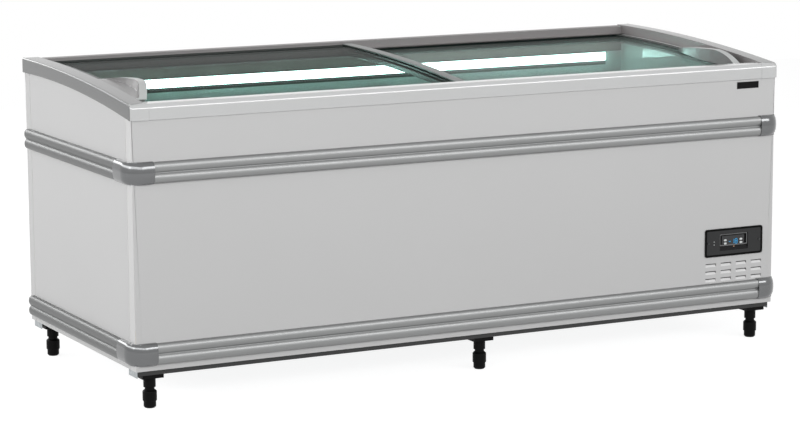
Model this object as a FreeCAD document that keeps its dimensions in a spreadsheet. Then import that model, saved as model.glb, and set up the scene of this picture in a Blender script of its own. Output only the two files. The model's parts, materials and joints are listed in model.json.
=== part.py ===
"""Island freezer with two curved sliding glass lids.

Millimetres. X runs along the length, -Y is the front, Z is up. The origin is on the floor under the middle of
the whole freezer, bumpers and end caps included.
"""
import FreeCAD
import Part
import Sketcher
import math
import os

doc = FreeCAD.newDocument("island_freezer")

# Driving dimensions, one row each: alias, value in millimetres (or a count), meaning.
SIZES = (
    ("body_length", 2060, "cabinet length over the end panels"),
    ("body_depth", 830, "cabinet depth over the front and back panels"),
    ("sheet_thick", 1, "cabinet sheet"),
    ("cut_over", 1, "a cut runs this far past the faces it opens"),
    ("panel_return", 40, "front and back panels wrap this far round the corners"),
    ("panel_seam", 1, "open joint between a return and the end panel"),
    ("leg_height", 95, "floor to the underside of the base rails"),
    ("rail_exposed", 14, "base rail seen below the panels"),
    ("rail_height", 30, "base rail section height"),
    ("rail_width", 50, "base rail section width"),
    ("rail_inset", 8, "base rail behind the panel face"),
    ("rail_wall", 2, "base rail sheet"),
    ("rail_end_gap", 8, "base rail ends short of the end panel"),
    ("bracket_thick", 2, "galvanised bracket on a rail's end"),
    ("bracket_depth", 60, "bracket along Y, behind the rail's outer wall"),
    ("bracket_drop", 6, "bracket below the rail"),
    ("pan_thick", 1, "base pan sheet"),
    ("foot_end_inset", 52, "outer feet from the cabinet's ends"),
    ("middle_foot_x", 43, "middle feet right of the middle"),
    ("foot_inset", 36, "foot axis behind the panel face"),
    ("plate_length", 62, "leg plate along X"),
    ("plate_width", 56, "leg plate along Y"),
    ("plate_thick", 10, "leg plate"),
    ("socket_radius", 17, "leg socket outside"),
    ("stud_radius", 10, "foot stud"),
    ("stud_clear", 0.05, "running clearance round the stud"),
    ("stud_reach", 30, "stud inside the socket"),
    ("foot_radius", 19.7, "foot body"),
    ("foot_height", 50, "foot body with its sole"),
    ("foot_chamfer", 4, "chamfers under the sole and over the body"),
    ("sole_radius", 17.2, "foot's narrower sole"),
    ("sole_height", 20, "foot's narrower sole"),
    ("neck_radius", 13.5, "neck above the foot body"),
    ("neck_height", 8, "neck above the foot body"),
    ("neck_gap", 0.3, "between the neck and the socket"),
    ("bumper_out", 20, "bumper rail stands out from the panel"),
    ("bumper_height", 57, "bumper rail section height"),
    ("rib_groove", 0.6, "groove between the two ribs"),
    ("rib_groove_depth", 9, "groove between the two ribs"),
    ("low_bumper_rise", 18, "low bumper above the panel's bottom edge"),
    ("mid_bumper_drop", 112.8, "middle bumper below the front profile"),
    ("bumper_back_gap", 30, "end bumpers stop short of the back"),
    ("corner_front_leg", 40, "corner piece along the front"),
    ("corner_end_leg", 90, "corner piece along the end"),
    ("corner_proud", 1, "corner piece stands proud of the rails"),
    ("corner_lap", 2, "corner piece higher and lower than the rails"),
    ("corner_radius", 58, "corner piece's bend in plan"),
    ("corner_round", 20, "corner piece's rounded long edges"),
    ("wall_thick", 68, "cabinet wall from panel face to liner"),
    ("floor_foam", 60, "foam under the tub, over and beside the machines"),
    ("liner_thick", 1, "tub sheet"),
    ("machine_length", 290, "machine compartment along X"),
    ("machine_height", 254, "machine compartment above the base pan"),
    ("tube_radius", 4, "evaporator tube"),
    ("tube_gap", 0.3, "evaporator tube off the liner"),
    ("tube_pitch", 70, "evaporator runs"),
    ("tube_runs", 7, "count of evaporator runs on a wall"),
    ("tube_low", 60, "lowest evaporator run above the tub floor"),
    ("tube_end_gap", 60, "evaporator runs end inside the tub walls"),
    ("rim_height", 883, "highest point of the end caps above the floor"),
    ("rim_radius", 7000, "arch of the end caps and lids"),
    ("rim_apex_inset", 14.5, "arch's highest point in front of the back panel"),
    ("band_drop", 41, "highest point of the end cap's lower edge below the arch's"),
    ("band_radius", 5000, "arch of the end cap's lower edge"),
    ("band_apex_inset", 124.5, "that arch's highest point in front of the back panel"),
    ("cap_overhang", 5, "end caps and profiles stand out from the panels"),
    ("cap_width", 47, "end cap's top strip"),
    ("cap_wrap", 55, "end cap goes this far round the front"),
    ("cap_round", 5, "end cap's rounded outer edges"),
    ("ledge_reach", 80, "end cap's inner ledge from the outside of the cap"),
    ("ledge_gap", 0.3, "foam and tub sheets under the inner ledge"),
    ("ledge_drop", 42, "inner ledge below the arch"),
    ("ledge_thick", 10, "inner ledge"),
    ("profile_width", 45, "front and back profiles behind the panel faces"),
    ("profile_round", 14, "rounded front edge of the front profile"),
    ("breaker_width", 72, "profile's lower lip behind the panel face"),
    ("front_top_wall", 5, "front profile over its upper track"),
    ("back_top_wall", 7.5, "back profile above the upper lid"),
    ("track_web", 1.8, "between the two tracks"),
    ("track_floor", 5.5, "profile under its lower track"),
    ("groove_clear", 1.5, "track above the glass, and beside a lid's edge"),
    ("lid_inset", 30, "lid edge behind the panel face"),
    ("glass_drop", 12, "upper glass below the arch"),
    ("track_pitch", 18, "lower glass below the upper glass"),
    ("glass_thick", 4, "lid glass"),
    ("runner_height", 8, "lid runner under the glass at the lid's edge"),
    ("runner_width", 13, "lid runner"),
    ("run_gap", 0.3, "lid runner above its track"),
    ("lid_end_gap", 5, "closed lid to the end cap"),
    ("lid_middle", -10, "middle of the lids' overlap"),
    ("lid_overlap", 36, "closed lids overlap"),
    ("bar_width", 32, "lid's middle bar"),
    ("end_bar_width", 28, "lid's end bar"),
    ("bar_grip", 12, "bar over the edge of the glass"),
    ("bar_lip", 5, "bar below the glass, and middle bar above it"),
    ("end_bar_lip", 1.5, "end bar above the glass"),
    ("bar_end_clear", 1, "bar ends short of the profiles"),
    ("seal_width", 6, "wiper seal"),
    ("seal_height", 3.6, "wiper seal"),
    ("seal_inset", 4, "wiper seal from the bar's edge"),
    ("lip_back", 425, "corner lip's back end behind the front profile"),
    ("lip_bulge_back", 130, "corner lip's fullest and highest point behind the front profile"),
    ("lip_bulge", 69, "corner lip's fullest point from the end cap"),
    ("lip_front", 22, "corner lip's front end behind the front profile"),
    ("lip_foot", 29, "corner lip's front end from the end cap"),
    ("lip_band", 24, "width of the corner lip"),
    ("lip_floor", 3, "floor of the pocket behind the corner lip"),
    ("lip_rise", 42, "left corner lip's highest point above the front profile"),
    ("lip_root_drop", 29, "corner lip's back end below its highest point"),
    ("lip_bend", 106, "corner lip's round front end, seen from the side"),
    ("lip_step", 12, "right corner lip lower than the left one"),
    ("lip_clear", 3, "corner lip above the glass under it"),
    ("lamp_height", 26, "lamp section"),
    ("lamp_depth", 16, "lamp housing in front of the liner"),
    ("diffuser_depth", 6, "lamp diffuser in front of its housing"),
    ("lamp_drop", 29, "lamp below the back profile"),
    ("lamp_end_gap", 72, "lamp ends from the tub's end walls"),
    ("badge_width", 76, "bare plate on the front"),
    ("badge_height", 20, "bare plate on the front"),
    ("badge_thick", 1.5, "bare plate on the front"),
    ("badge_x", 97, "bare plate's middle from the cabinet's end"),
    ("badge_drop", 17, "bare plate's middle below the front profile"),
    ("bezel_width", 204, "controller bezel"),
    ("bezel_height", 84, "controller bezel"),
    ("bezel_thick", 3, "bezel in front of the panel"),
    ("bezel_round", 7, "bezel's rounded corners"),
    ("bezel_lap", 8, "bezel over the edge of its cut-out"),
    ("bezel_tray", 12, "bezel's tray behind the panel face"),
    ("bezel_fit", 0.5, "tray inside its cut-out"),
    ("bezel_x", 140, "bezel's middle from the cabinet's end"),
    ("bezel_rise", 197, "bezel's middle above the panel's bottom edge"),
    ("pocket_width", 100, "recess round the controller"),
    ("pocket_height", 50, "recess round the controller"),
    ("pocket_floor", 3, "back wall of the recess"),
    ("unit_width", 80, "controller's face"),
    ("unit_height", 36, "controller's face"),
    ("unit_thick", 7, "controller's face"),
    ("unit_body_width", 70, "controller's body behind the bezel"),
    ("unit_body_height", 28, "controller's body behind the bezel"),
    ("unit_body_depth", 45, "controller's body behind the bezel"),
    ("button_radius", 2.8, "round ends of a controller button"),
    ("button_flat", 4, "straight stretch of a controller button"),
    ("button_clear", 0.08, "running clearance round a button"),
    ("button_out", 1.4, "button stands out of the face"),
    ("button_depth", 3, "button inside the face"),
    ("button_travel", 1.1, "room behind a button"),
    ("button_x", 28, "buttons from the controller's middle"),
    ("button_z", 4.8, "buttons above and below the controller's middle"),
    ("screw_x", 90, "bezel screws from its middle"),
    ("screw_head", 3.5, "bezel screw head radius"),
    ("screw_shank", 1.8, "bezel screw shank radius"),
    ("screw_head_thick", 2, "bezel screw head"),
    ("screw_length", 14, "bezel screw shank"),
    ("louvre_width", 37, "air louvre"),
    ("louvre_height", 10, "air louvre"),
    ("louvre_tilt", 32, "louvre sheet's tilt in degrees"),
    ("louvre_shift", 4, "first louvre right of the bezel's left edge"),
    ("louvre_pitch_x", 54, "air louvres"),
    ("louvre_pitch_z", 22.5, "air louvres"),
    ("louvre_columns", 4, "count of louvres in a row"),
    ("louvre_rows", 3, "count of rows"),
    ("louvre_rise", 80, "lowest louvre above the panel's bottom edge"),
    ("compressor_radius", 85, "compressor shell"),
    ("compressor_height", 180, "compressor shell"),
    ("compressor_round", 45, "compressor shell's rounded ends"),
    ("compressor_back", 170, "compressor's middle from the back panel"),
    ("machine_mid", 145, "machines' middle from the cabinet's end"),
    ("mount_plate", 4, "compressor plate"),
    ("mount_plate_side", 190, "compressor plate"),
    ("mount_radius", 14, "rubber mount"),
    ("mount_height", 18, "rubber mount"),
    ("mount_spacing", 150, "rubber mounts, both ways"),
    ("condenser_front", 110, "condenser behind the front panel"),
    ("condenser_width", 236, "condenser"),
    ("condenser_depth", 50, "condenser"),
    ("condenser_height", 210, "condenser"),
    ("shroud_depth", 48, "fan shroud"),
    ("shroud_bore", 95, "fan shroud opening radius"),
    ("spider_width", 26, "bar that carries the motor"),
    ("spider_thick", 8, "bar that carries the motor"),
    ("fan_radius", 90, "fan tip"),
    ("hub_radius", 26, "fan hub"),
    ("hub_length", 26, "fan hub"),
    ("hub_gap", 4, "fan hub from the spider bar"),
    ("blade_width", 46, "fan blade"),
    ("blade_thick", 3, "fan blade"),
    ("blade_pitch", 28, "fan blade angle in degrees"),
    ("blade_count", 5, "count of fan blades"),
    ("shaft_radius", 4, "motor shaft"),
    ("shaft_clear", 0.05, "running clearance round the shaft"),
    ("motor_radius", 36, "fan motor"),
    ("motor_length", 58, "fan motor"),
    ("dryer_radius", 13, "filter dryer"),
    ("dryer_length", 130, "filter dryer"),
    ("dryer_back", 430, "filter dryer from the back panel"),
    ("gland_radius", 10, "cord gland body"),
    ("gland_flange", 14, "cord gland flange radius"),
    ("gland_flange_thick", 4, "cord gland flange"),
    ("gland_depth", 12, "cord gland inside the panel"),
    ("gland_bore", 4.5, "cord gland bore radius"),
    ("gland_rise", 60, "cord gland above the panel's bottom edge"),
    ("vent_width", 60, "slot in the back panel"),
    ("vent_height", 6, "slot in the back panel"),
    ("vent_spacing", 72, "the two columns of slots"),
    ("vent_pitch", 18, "slots in the back panel"),
    ("vent_count", 6, "count of slots"),
    ("vent_rise", 110, "lowest slot above the panel's bottom edge"),
    ("drain_end", 210, "drain from the cabinet's left end"),
    ("drain_bore", 10, "drain tube bore radius"),
    ("drain_wall", 3, "drain tube wall"),
    ("drain_flange", 20, "drain flange radius"),
    ("drain_flange_thick", 2, "drain flange on the tub floor"),
    ("drain_below", 20, "drain tube below the base pan"),
    ("plug_clear", 0.1, "clearance round the plug"),
    ("plug_depth", 25, "plug inside the tube"),
    ("plug_head", 17, "plug head radius"),
    ("plug_head_thick", 8, "plug head"),
)

sheet = doc.addObject("Spreadsheet::Sheet", "sheet")
for row, (alias, value, meaning) in enumerate(SIZES, 1):
    sheet.set(f"A{row}", alias)
    sheet.set(f"B{row}", str(value))
    sheet.set(f"C{row}", meaning)
    sheet.setAlias(f"B{row}", alias)
doc.recompute()

nodes = []


def size(alias):
    """A driving dimension as a number."""
    return float(sheet.get(alias))


def node(item, label):
    """Name a finished piece and keep it for the export."""
    item.Label = label
    nodes.append(item)
    return item


def place(item, base, rotation=None):
    """Put an item's corner or centre at three expressions."""
    if rotation is not None:
        item.Placement = FreeCAD.Placement(FreeCAD.Vector(), rotation)
    for axis, expression in zip("xyz", base):
        item.setExpression(f"Placement.Base.{axis}", expression)
    return item


def box(x, y, z):
    """A box between two expressions on each axis."""
    item = doc.addObject("Part::Box", "box")
    for prop, (low, high) in zip(("Length", "Width", "Height"), (x, y, z)):
        item.setExpression(prop, f"({high}) - ({low})")
    return place(item, (x[0], y[0], z[0]))


TURN_TO_X = FreeCAD.Rotation(FreeCAD.Vector(0, 1, 0), 90)
TURN_TO_Y = FreeCAD.Rotation(FreeCAD.Vector(1, 0, 0), -90)
UPRIGHT = FreeCAD.Rotation()


def cylinder(radius, length, base, rotation=UPRIGHT, angle=360):
    """A cylinder, or part of one, from an expression for each size and for each coordinate of its start."""
    item = doc.addObject("Part::Cylinder", "cylinder")
    item.setExpression("Radius", radius)
    item.setExpression("Height", length)
    item.Angle = angle
    return place(item, base, rotation)


def cut(base, *tools):
    """The base with the tools taken out of it."""
    item = doc.addObject("Part::Cut", "cut")
    item.Base = base
    item.Tool = tools[0] if len(tools) == 1 else group(*tools)
    return item


def common(base, tool):
    """What the two items share."""
    item = doc.addObject("Part::Common", "common")
    item.Base = base
    item.Tool = tool
    return item


def fuse(*items):
    """One solid from several."""
    item = doc.addObject("Part::MultiFuse", "fuse")
    item.Shapes = list(items)
    item.Refine = True
    return item


def group(*items):
    """Separate solids kept together."""
    item = doc.addObject("Part::Compound", "group")
    item.Links = list(items)
    return item


def rounded(base, radius, pick):
    """The base with the edges that pick accepts rounded."""
    doc.recompute()
    item = doc.addObject("Part::Fillet", "rounded")
    item.Base = base
    chosen = [i for i, edge in enumerate(base.Shape.Edges, 1) if pick(edge)]
    item.Edges = [(i, size(radius), size(radius)) for i in chosen]
    return item


def section(points, start, length):
    """A body drawn through points in the YZ plane and padded along X."""
    body = doc.addObject("PartDesign::Body", "section")
    outline = body.newObject("Sketcher::SketchObject", "outline")
    plane = next(item for item in body.Origin.OriginFeatures if item.Role == "YZ_Plane")
    outline.AttachmentSupport = [(plane, "")]
    outline.MapMode = "FlatFace"
    outline.setExpression("AttachmentOffset.Base.z", start)
    count = len(points)
    ring = [FreeCAD.Vector(2 + math.cos(2 * math.pi * i / count), 2 + math.sin(2 * math.pi * i / count), 0)
            for i in range(count)]
    for here, there in zip(ring, ring[1:] + ring[:1]):
        outline.addGeometry(Part.LineSegment(here, there))
    for i in range(count):
        outline.addConstraint(Sketcher.Constraint("Coincident", i, 2, (i + 1) % count, 1))
    for i, (across, up) in enumerate(points):
        for kind, expression, value in (("DistanceX", across, ring[i].x), ("DistanceY", up, ring[i].y)):
            index = outline.addConstraint(Sketcher.Constraint(kind, -1, 1, i, 1, value))
            outline.setExpression(f"Constraints[{index}]", expression)
    pad = body.newObject("PartDesign::Pad", "pad")
    pad.Profile = outline
    pad.setExpression("Length", length)
    return body


def round_body(body, radius, score):
    """Round the one edge of a body that scores highest."""
    doc.recompute()
    base = body.Tip
    names = [f"Edge{i}" for i in range(1, len(base.Shape.Edges) + 1)]
    best = max(zip(names, base.Shape.Edges), key=lambda pair: score(pair[1].CenterOfMass))
    fillet = body.newObject("PartDesign::Fillet", "fillet")
    fillet.Base = (base, [best[0]])
    fillet.setExpression("Radius", f"sheet.{radius}")
    body.Tip = fillet
    return body


def mirrored(side, low, high):
    """An x range on the right (side 1), or its mirror image on the left (side -1)."""
    return (low, high) if side > 0 else (f"-({high})", f"-({low})")


# Planes that the pieces share, as expressions.
END = "(sheet.body_length / 2)"
FRONT_OUT = "(sheet.bumper_out + sheet.corner_proud)"
FRONT = f"({FRONT_OUT} - (sheet.body_depth + {FRONT_OUT} + sheet.cap_overhang) / 2)"
BACK = f"({FRONT} + sheet.body_depth)"
CAP_END = f"({END} + sheet.cap_overhang)"
CAP_WALL = f"({CAP_END} - sheet.cap_width)"
PANEL_FOOT = "(sheet.leg_height + sheet.rail_exposed)"
PAN_FOOT = "(sheet.leg_height + sheet.rail_height)"
PAN_TOP = f"({PAN_FOOT} + sheet.pan_thick)"
TUB_FLOOR = f"({PAN_TOP} + sheet.floor_foam)"
MACHINE_TOP = f"({PAN_TOP} + sheet.machine_height)"
STEP_TOP = f"({MACHINE_TOP} + sheet.floor_foam)"
MACHINE_LEFT = f"({END} - sheet.machine_length)"
STEP_X = f"({MACHINE_LEFT} - sheet.floor_foam)"
TUB_END = f"({END} - sheet.wall_thick)"
TUB_FRONT = f"({FRONT} + sheet.wall_thick)"
TUB_BACK = f"({BACK} - sheet.wall_thick)"
SKIN_END = f"({END} - sheet.sheet_thick)"
SKIN_FRONT = f"({FRONT} + sheet.sheet_thick)"
SKIN_BACK = f"({BACK} - sheet.sheet_thick)"
RIM_Y = f"({BACK} - sheet.rim_apex_inset)"
BAND_Y = f"({BACK} - sheet.band_apex_inset)"
LID_FRONT = f"({FRONT} + sheet.lid_inset)"
LID_BACK = f"({BACK} - sheet.lid_inset)"
UPPER = "sheet.glass_drop"
LOWER = "(sheet.glass_drop + sheet.track_pitch)"
LEDGE_FOOT = "(sheet.ledge_drop + sheet.ledge_thick)"
UNDER_LEDGE = f"({LEDGE_FOOT} + sheet.ledge_gap)"


def arch_height(y, drop):
    """Height of the arch at y, a drop below the end caps' tops."""
    return f"(sheet.rim_height - sheet.rim_radius + sqrt((sheet.rim_radius - {drop})^2 - ({y} - {RIM_Y})^2))"


def seat(y, drop):
    """Height of the track under a lid's edge at y."""
    under_glass = arch_height(y, f"({drop} + sheet.glass_thick)")
    return f"({under_glass} - sheet.runner_height - sheet.run_gap)"


FRONT_INNER = f"({FRONT} + sheet.profile_width)"
BACK_INNER = f"({BACK} - sheet.profile_width)"
FRONT_SEAM = f"({seat(LID_FRONT, LOWER)} - sheet.track_floor)"
BACK_SEAM = f"({seat(LID_BACK, LOWER)} - sheet.track_floor)"
FRONT_GROOVE_TOP = f"({arch_height(FRONT_INNER, UPPER)} + sheet.groove_clear)"
BACK_GROOVE_TOP = f"({arch_height(RIM_Y, UPPER)} + sheet.groove_clear)"
FRONT_TOP = f"({FRONT_GROOVE_TOP} + sheet.front_top_wall)"
BACK_TOP = f"({BACK_GROOVE_TOP} + sheet.back_top_wall)"


def arch(drop, x):
    """Everything under the arch, a drop below the end caps' tops, between two x expressions."""
    centre = (x[0], RIM_Y, "sheet.rim_height - sheet.rim_radius")
    return cylinder(f"sheet.rim_radius - {drop}", f"({x[1]}) - ({x[0]})", centre, TURN_TO_X)


def band_arch(x):
    """Everything under the arched lower edge of the end caps, between two x expressions."""
    centre = (x[0], BAND_Y, "sheet.rim_height - sheet.band_drop - sheet.band_radius")
    return cylinder("sheet.band_radius", f"({x[1]}) - ({x[0]})", centre, TURN_TO_X)


def arched(top, foot, x, y):
    """An arched slab between two drops below the end caps' tops."""
    layer = cut(arch(top, x), arch(foot, x))
    return common(layer, box(x, y, ("sheet.leg_height", "sheet.rim_height + sheet.cut_over")))


# Base: two black channel rails, galvanised brackets on their ends and the pan under the foam.
def base_rail(front):
    """One channel rail, open towards the middle of the freezer."""
    x = (f"sheet.rail_end_gap - {END}", f"{END} - sheet.rail_end_gap")
    z = ("sheet.leg_height", PAN_FOOT)
    if front:
        y = (f"{FRONT} + sheet.rail_inset", f"{FRONT} + sheet.rail_inset + sheet.rail_width")
        hollow = (f"{y[0]} + sheet.rail_wall", y[1])
    else:
        y = (f"{BACK} - sheet.rail_inset - sheet.rail_width", f"{BACK} - sheet.rail_inset")
        hollow = (y[0], f"{y[1]} - sheet.rail_wall")
    inside = box(x, hollow, (f"{z[0]} + sheet.rail_wall", f"{z[1]} - sheet.rail_wall"))
    return cut(box(x, y, z), inside)


def rail_bracket(side, front):
    """One galvanised plate on the end of a rail."""
    start = f"{END} - sheet.rail_end_gap"
    x = mirrored(side, start, f"{start} + sheet.bracket_thick")
    inset = "(sheet.rail_inset + sheet.rail_wall)"
    near = f"{FRONT} + {inset}" if front else f"{BACK} - {inset} - sheet.bracket_depth"
    return box(x, (near, f"{near} + sheet.bracket_depth"), ("sheet.leg_height - sheet.bracket_drop", PAN_FOOT))


node(group(base_rail(True), base_rail(False)), "base_rails")
node(group(*[rail_bracket(side, front) for side in (-1, 1) for front in (True, False)]), "rail_end_brackets")

DRAIN_X = f"(sheet.drain_end - {END})"
DRAIN_Y = f"(({FRONT} + {BACK}) / 2)"
DRAIN_OUTSIDE = "(sheet.drain_bore + sheet.drain_wall)"
drain_way = cylinder(DRAIN_OUTSIDE, f"{TUB_FLOOR} + sheet.liner_thick - sheet.leg_height",
                     (DRAIN_X, DRAIN_Y, "sheet.leg_height"))
pan = box((f"-{SKIN_END}", SKIN_END), (SKIN_FRONT, SKIN_BACK), (PAN_FOOT, PAN_TOP))
node(cut(pan, drain_way), "base_pan")

# Legs: a plate with a socket under each rail, and a foot whose stud turns in the socket.
FRONT_FOOT_Y = f"({FRONT} + sheet.foot_inset)"
BACK_FOOT_Y = f"({BACK} - sheet.foot_inset)"
FOOT_X = f"({END} - sheet.foot_end_inset)"
FOOT_PLACES = {
    "foot_front_left": (f"(-{FOOT_X})", FRONT_FOOT_Y),
    "foot_front_middle": ("sheet.middle_foot_x", FRONT_FOOT_Y),
    "foot_front_right": (FOOT_X, FRONT_FOOT_Y),
    "foot_back_left": (f"(-{FOOT_X})", BACK_FOOT_Y),
    "foot_back_middle": ("sheet.middle_foot_x", BACK_FOOT_Y),
    "foot_back_right": (FOOT_X, BACK_FOOT_Y),
}
NECK_TOP = "(sheet.foot_height + sheet.neck_height)"
SOCKET_FOOT = f"({NECK_TOP} + sheet.neck_gap)"


def leg_socket(x, y):
    """A plate under the rail with a round socket for the stud."""
    plate = box((f"{x} - sheet.plate_length / 2", f"{x} + sheet.plate_length / 2"),
                (f"{y} - sheet.plate_width / 2", f"{y} + sheet.plate_width / 2"),
                ("sheet.leg_height - sheet.plate_thick", "sheet.leg_height"))
    tube = cylinder("sheet.socket_radius", f"sheet.leg_height - sheet.plate_thick / 2 - {SOCKET_FOOT}",
                    (x, y, SOCKET_FOOT))
    bore = cylinder("sheet.stud_radius + sheet.stud_clear", "sheet.stud_reach + sheet.neck_gap",
                    (x, y, SOCKET_FOOT))
    return cut(fuse(plate, tube), bore)


def foot_cone(low_radius, high_radius, x, y, z):
    """A chamfer of the foot, as a short cone."""
    cone = doc.addObject("Part::Cone", "cone")
    cone.setExpression("Radius1", low_radius)
    cone.setExpression("Radius2", high_radius)
    cone.setExpression("Height", "sheet.foot_chamfer")
    return place(cone, (x, y, z))


def foot(x, y):
    """A round foot with a narrower sole, a neck and the stud."""
    shoulder_z = "sheet.foot_height - sheet.foot_chamfer"
    under = foot_cone("sheet.sole_radius - sheet.foot_chamfer", "sheet.sole_radius", x, y, "0")
    sole = cylinder("sheet.sole_radius", "sheet.sole_height - sheet.foot_chamfer", (x, y, "sheet.foot_chamfer"))
    body = cylinder("sheet.foot_radius", f"{shoulder_z} - sheet.sole_height", (x, y, "sheet.sole_height"))
    shoulder = foot_cone("sheet.foot_radius", "sheet.foot_radius - sheet.foot_chamfer", x, y, shoulder_z)
    neck = cylinder("sheet.neck_radius", "sheet.neck_height", (x, y, "sheet.foot_height"))
    stud = cylinder("sheet.stud_radius", "sheet.stud_reach", (x, y, NECK_TOP))
    return fuse(under, sole, body, shoulder, neck, stud)


node(group(*[leg_socket(x, y) for x, y in FOOT_PLACES.values()]), "leg_sockets")
for label, (x, y) in FOOT_PLACES.items():
    node(foot(x, y), label)

# Cabinet sheets: the front and back panels wrap round the corners, the end panels lie between the returns.
WHOLE_X = (f"-{END}", END)
BEZEL_X = f"({END} - sheet.bezel_x)"
BEZEL_Z = f"({PANEL_FOOT} + sheet.bezel_rise)"


def wrapped_panel(face, top):
    """A face sheet with a return round each corner, cut to the end caps' lower edge."""
    inner = f"{FRONT} + sheet.panel_return" if face == "front" else f"{BACK} - sheet.panel_return"
    if face == "front":
        y = (FRONT, SKIN_FRONT)
        returns = (FRONT, inner)
    else:
        y = (SKIN_BACK, BACK)
        returns = (inner, BACK)
    sheets = [box(WHOLE_X, y, (PANEL_FOOT, top))]
    for side in (-1, 1):
        x = mirrored(side, SKIN_END, END)
        sheets.append(common(box(x, returns, (PANEL_FOOT, "sheet.rim_height")), band_arch(x)))
    return fuse(*sheets)


def end_panel(side):
    """A flat end sheet with an arched top edge."""
    x = mirrored(side, SKIN_END, END)
    gap = "sheet.panel_return + sheet.panel_seam"
    flat = box(x, (f"{FRONT} + {gap}", f"{BACK} - ({gap})"), (PANEL_FOOT, "sheet.rim_height"))
    return common(flat, band_arch(x))


def louvre_corners():
    """The lower left corner of each air louvre, counted from the bezel's left edge."""
    first = f"{BEZEL_X} - sheet.bezel_width / 2 + sheet.louvre_shift"
    corners = []
    for column in range(int(size("louvre_columns"))):
        for row in range(int(size("louvre_rows"))):
            left = f"{first} + {column} * sheet.louvre_pitch_x"
            foot_z = f"{PANEL_FOOT} + sheet.louvre_rise + {row} * sheet.louvre_pitch_z"
            corners.append((left, foot_z))
    return corners


def louvre_slot(left, foot_z):
    """The opening of one louvre."""
    return box((left, f"{left} + sheet.louvre_width"),
               (f"{FRONT} - sheet.cut_over", f"{SKIN_FRONT} + sheet.cut_over"),
               (foot_z, f"{foot_z} + sheet.louvre_height"))


def louvre_tongue(left, foot_z):
    """The sheet of one louvre, pressed inwards at the top of its opening."""
    tongue = doc.addObject("Part::Box", "tongue")
    tongue.setExpression("Length", "sheet.louvre_width")
    tongue.setExpression("Width", "sheet.sheet_thick")
    tongue.setExpression("Height", "sheet.louvre_height")
    tilt = FreeCAD.Rotation(FreeCAD.Vector(1, 0, 0), -size("louvre_tilt"))
    return place(tongue, (left, FRONT, foot_z), tilt)


def back_vents():
    """The air slots behind the compressor."""
    slots = []
    middle = f"({END} - sheet.machine_mid)"
    for row in range(int(size("vent_count"))):
        for side in (-1, 1):
            near = f"{middle} + {side} * sheet.vent_spacing / 2"
            foot_z = f"{PANEL_FOOT} + sheet.vent_rise + {row} * sheet.vent_pitch"
            slots.append(box((f"{near} - sheet.vent_width / 2", f"{near} + sheet.vent_width / 2"),
                             (f"{SKIN_BACK} - sheet.cut_over", f"{BACK} + sheet.cut_over"),
                             (foot_z, f"{foot_z} + sheet.vent_height")))
    return slots


CUTOUT_HALF_X = "(sheet.bezel_width / 2 - sheet.bezel_lap)"
CUTOUT_HALF_Z = "(sheet.bezel_height / 2 - sheet.bezel_lap)"
bezel_cutout = box((f"{BEZEL_X} - {CUTOUT_HALF_X}", f"{BEZEL_X} + {CUTOUT_HALF_X}"),
                   (f"{FRONT} - sheet.cut_over", f"{SKIN_FRONT} + sheet.cut_over"),
                   (f"{BEZEL_Z} - {CUTOUT_HALF_Z}", f"{BEZEL_Z} + {CUTOUT_HALF_Z}"))
GLAND_X = f"({END} - sheet.machine_mid)"
GLAND_Z = f"({PANEL_FOOT} + sheet.gland_rise)"
gland_hole = cylinder("sheet.gland_radius", "sheet.sheet_thick + 2 * sheet.cut_over",
                      (GLAND_X, f"{SKIN_BACK} - sheet.cut_over", GLAND_Z), TURN_TO_Y)
louvre_slots = [louvre_slot(*at) for at in louvre_corners()]
slotted_front = cut(wrapped_panel("front", FRONT_SEAM), bezel_cutout, *louvre_slots)
node(fuse(slotted_front, *[louvre_tongue(*at) for at in louvre_corners()]), "front_panel")
node(cut(wrapped_panel("back", BACK_SEAM), gland_hole, *back_vents()), "back_panel")
node(end_panel(-1), "left_end_panel")
node(end_panel(1), "right_end_panel")

# Bumpers: double-ribbed rails on the front and the ends, with moulded pieces round the two front corners.
LOW_BUMPER = f"({PANEL_FOOT} + sheet.low_bumper_rise)"
MID_BUMPER = f"({FRONT_SEAM} - sheet.mid_bumper_drop - sheet.bumper_height)"
RIB_RADIUS = "((sheet.bumper_height - sheet.rib_groove) / 4)"
RIB_SEAT = f"(sheet.bumper_out - {RIB_RADIUS})"
RIB_UP = (f"{RIB_RADIUS}", f"sheet.bumper_height - {RIB_RADIUS}")
GROOVE_OUT = "(sheet.bumper_out - sheet.rib_groove_depth)"
UP = FreeCAD.Vector(0, 0, 1)
DOWN = FreeCAD.Vector(0, 0, -1)
ALONG_X = FreeCAD.Vector(1, 0, 0)
ALONG_Y = FreeCAD.Vector(0, 1, 0)
FACING_FRONT = FreeCAD.Rotation(UP, -ALONG_Y, ALONG_X, "ZXY")
FACING_LEFT = FreeCAD.Rotation(DOWN, -ALONG_X, ALONG_Y, "ZXY")
FACING_RIGHT = FreeCAD.Rotation(UP, ALONG_X, ALONG_Y, "ZXY")


def front_bumper(foot_z):
    """A rail along the front between the corner pieces."""
    x = (f"sheet.corner_front_leg - {END}", f"{END} - sheet.corner_front_leg")
    strip = box(x, (f"{FRONT} - {RIB_SEAT}", FRONT), (foot_z, f"{foot_z} + sheet.bumper_height"))
    ribs = [cylinder(RIB_RADIUS, f"({x[1]}) - ({x[0]})", (x[0], f"{FRONT} - {RIB_SEAT}", f"{foot_z} + {up}"),
                     FACING_FRONT, 180) for up in RIB_UP]
    web = box(x, (f"{FRONT} - {GROOVE_OUT}", FRONT), (f"{foot_z} + {RIB_UP[0]}", f"{foot_z} + {RIB_UP[1]}"))
    return fuse(strip, web, *ribs)


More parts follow.
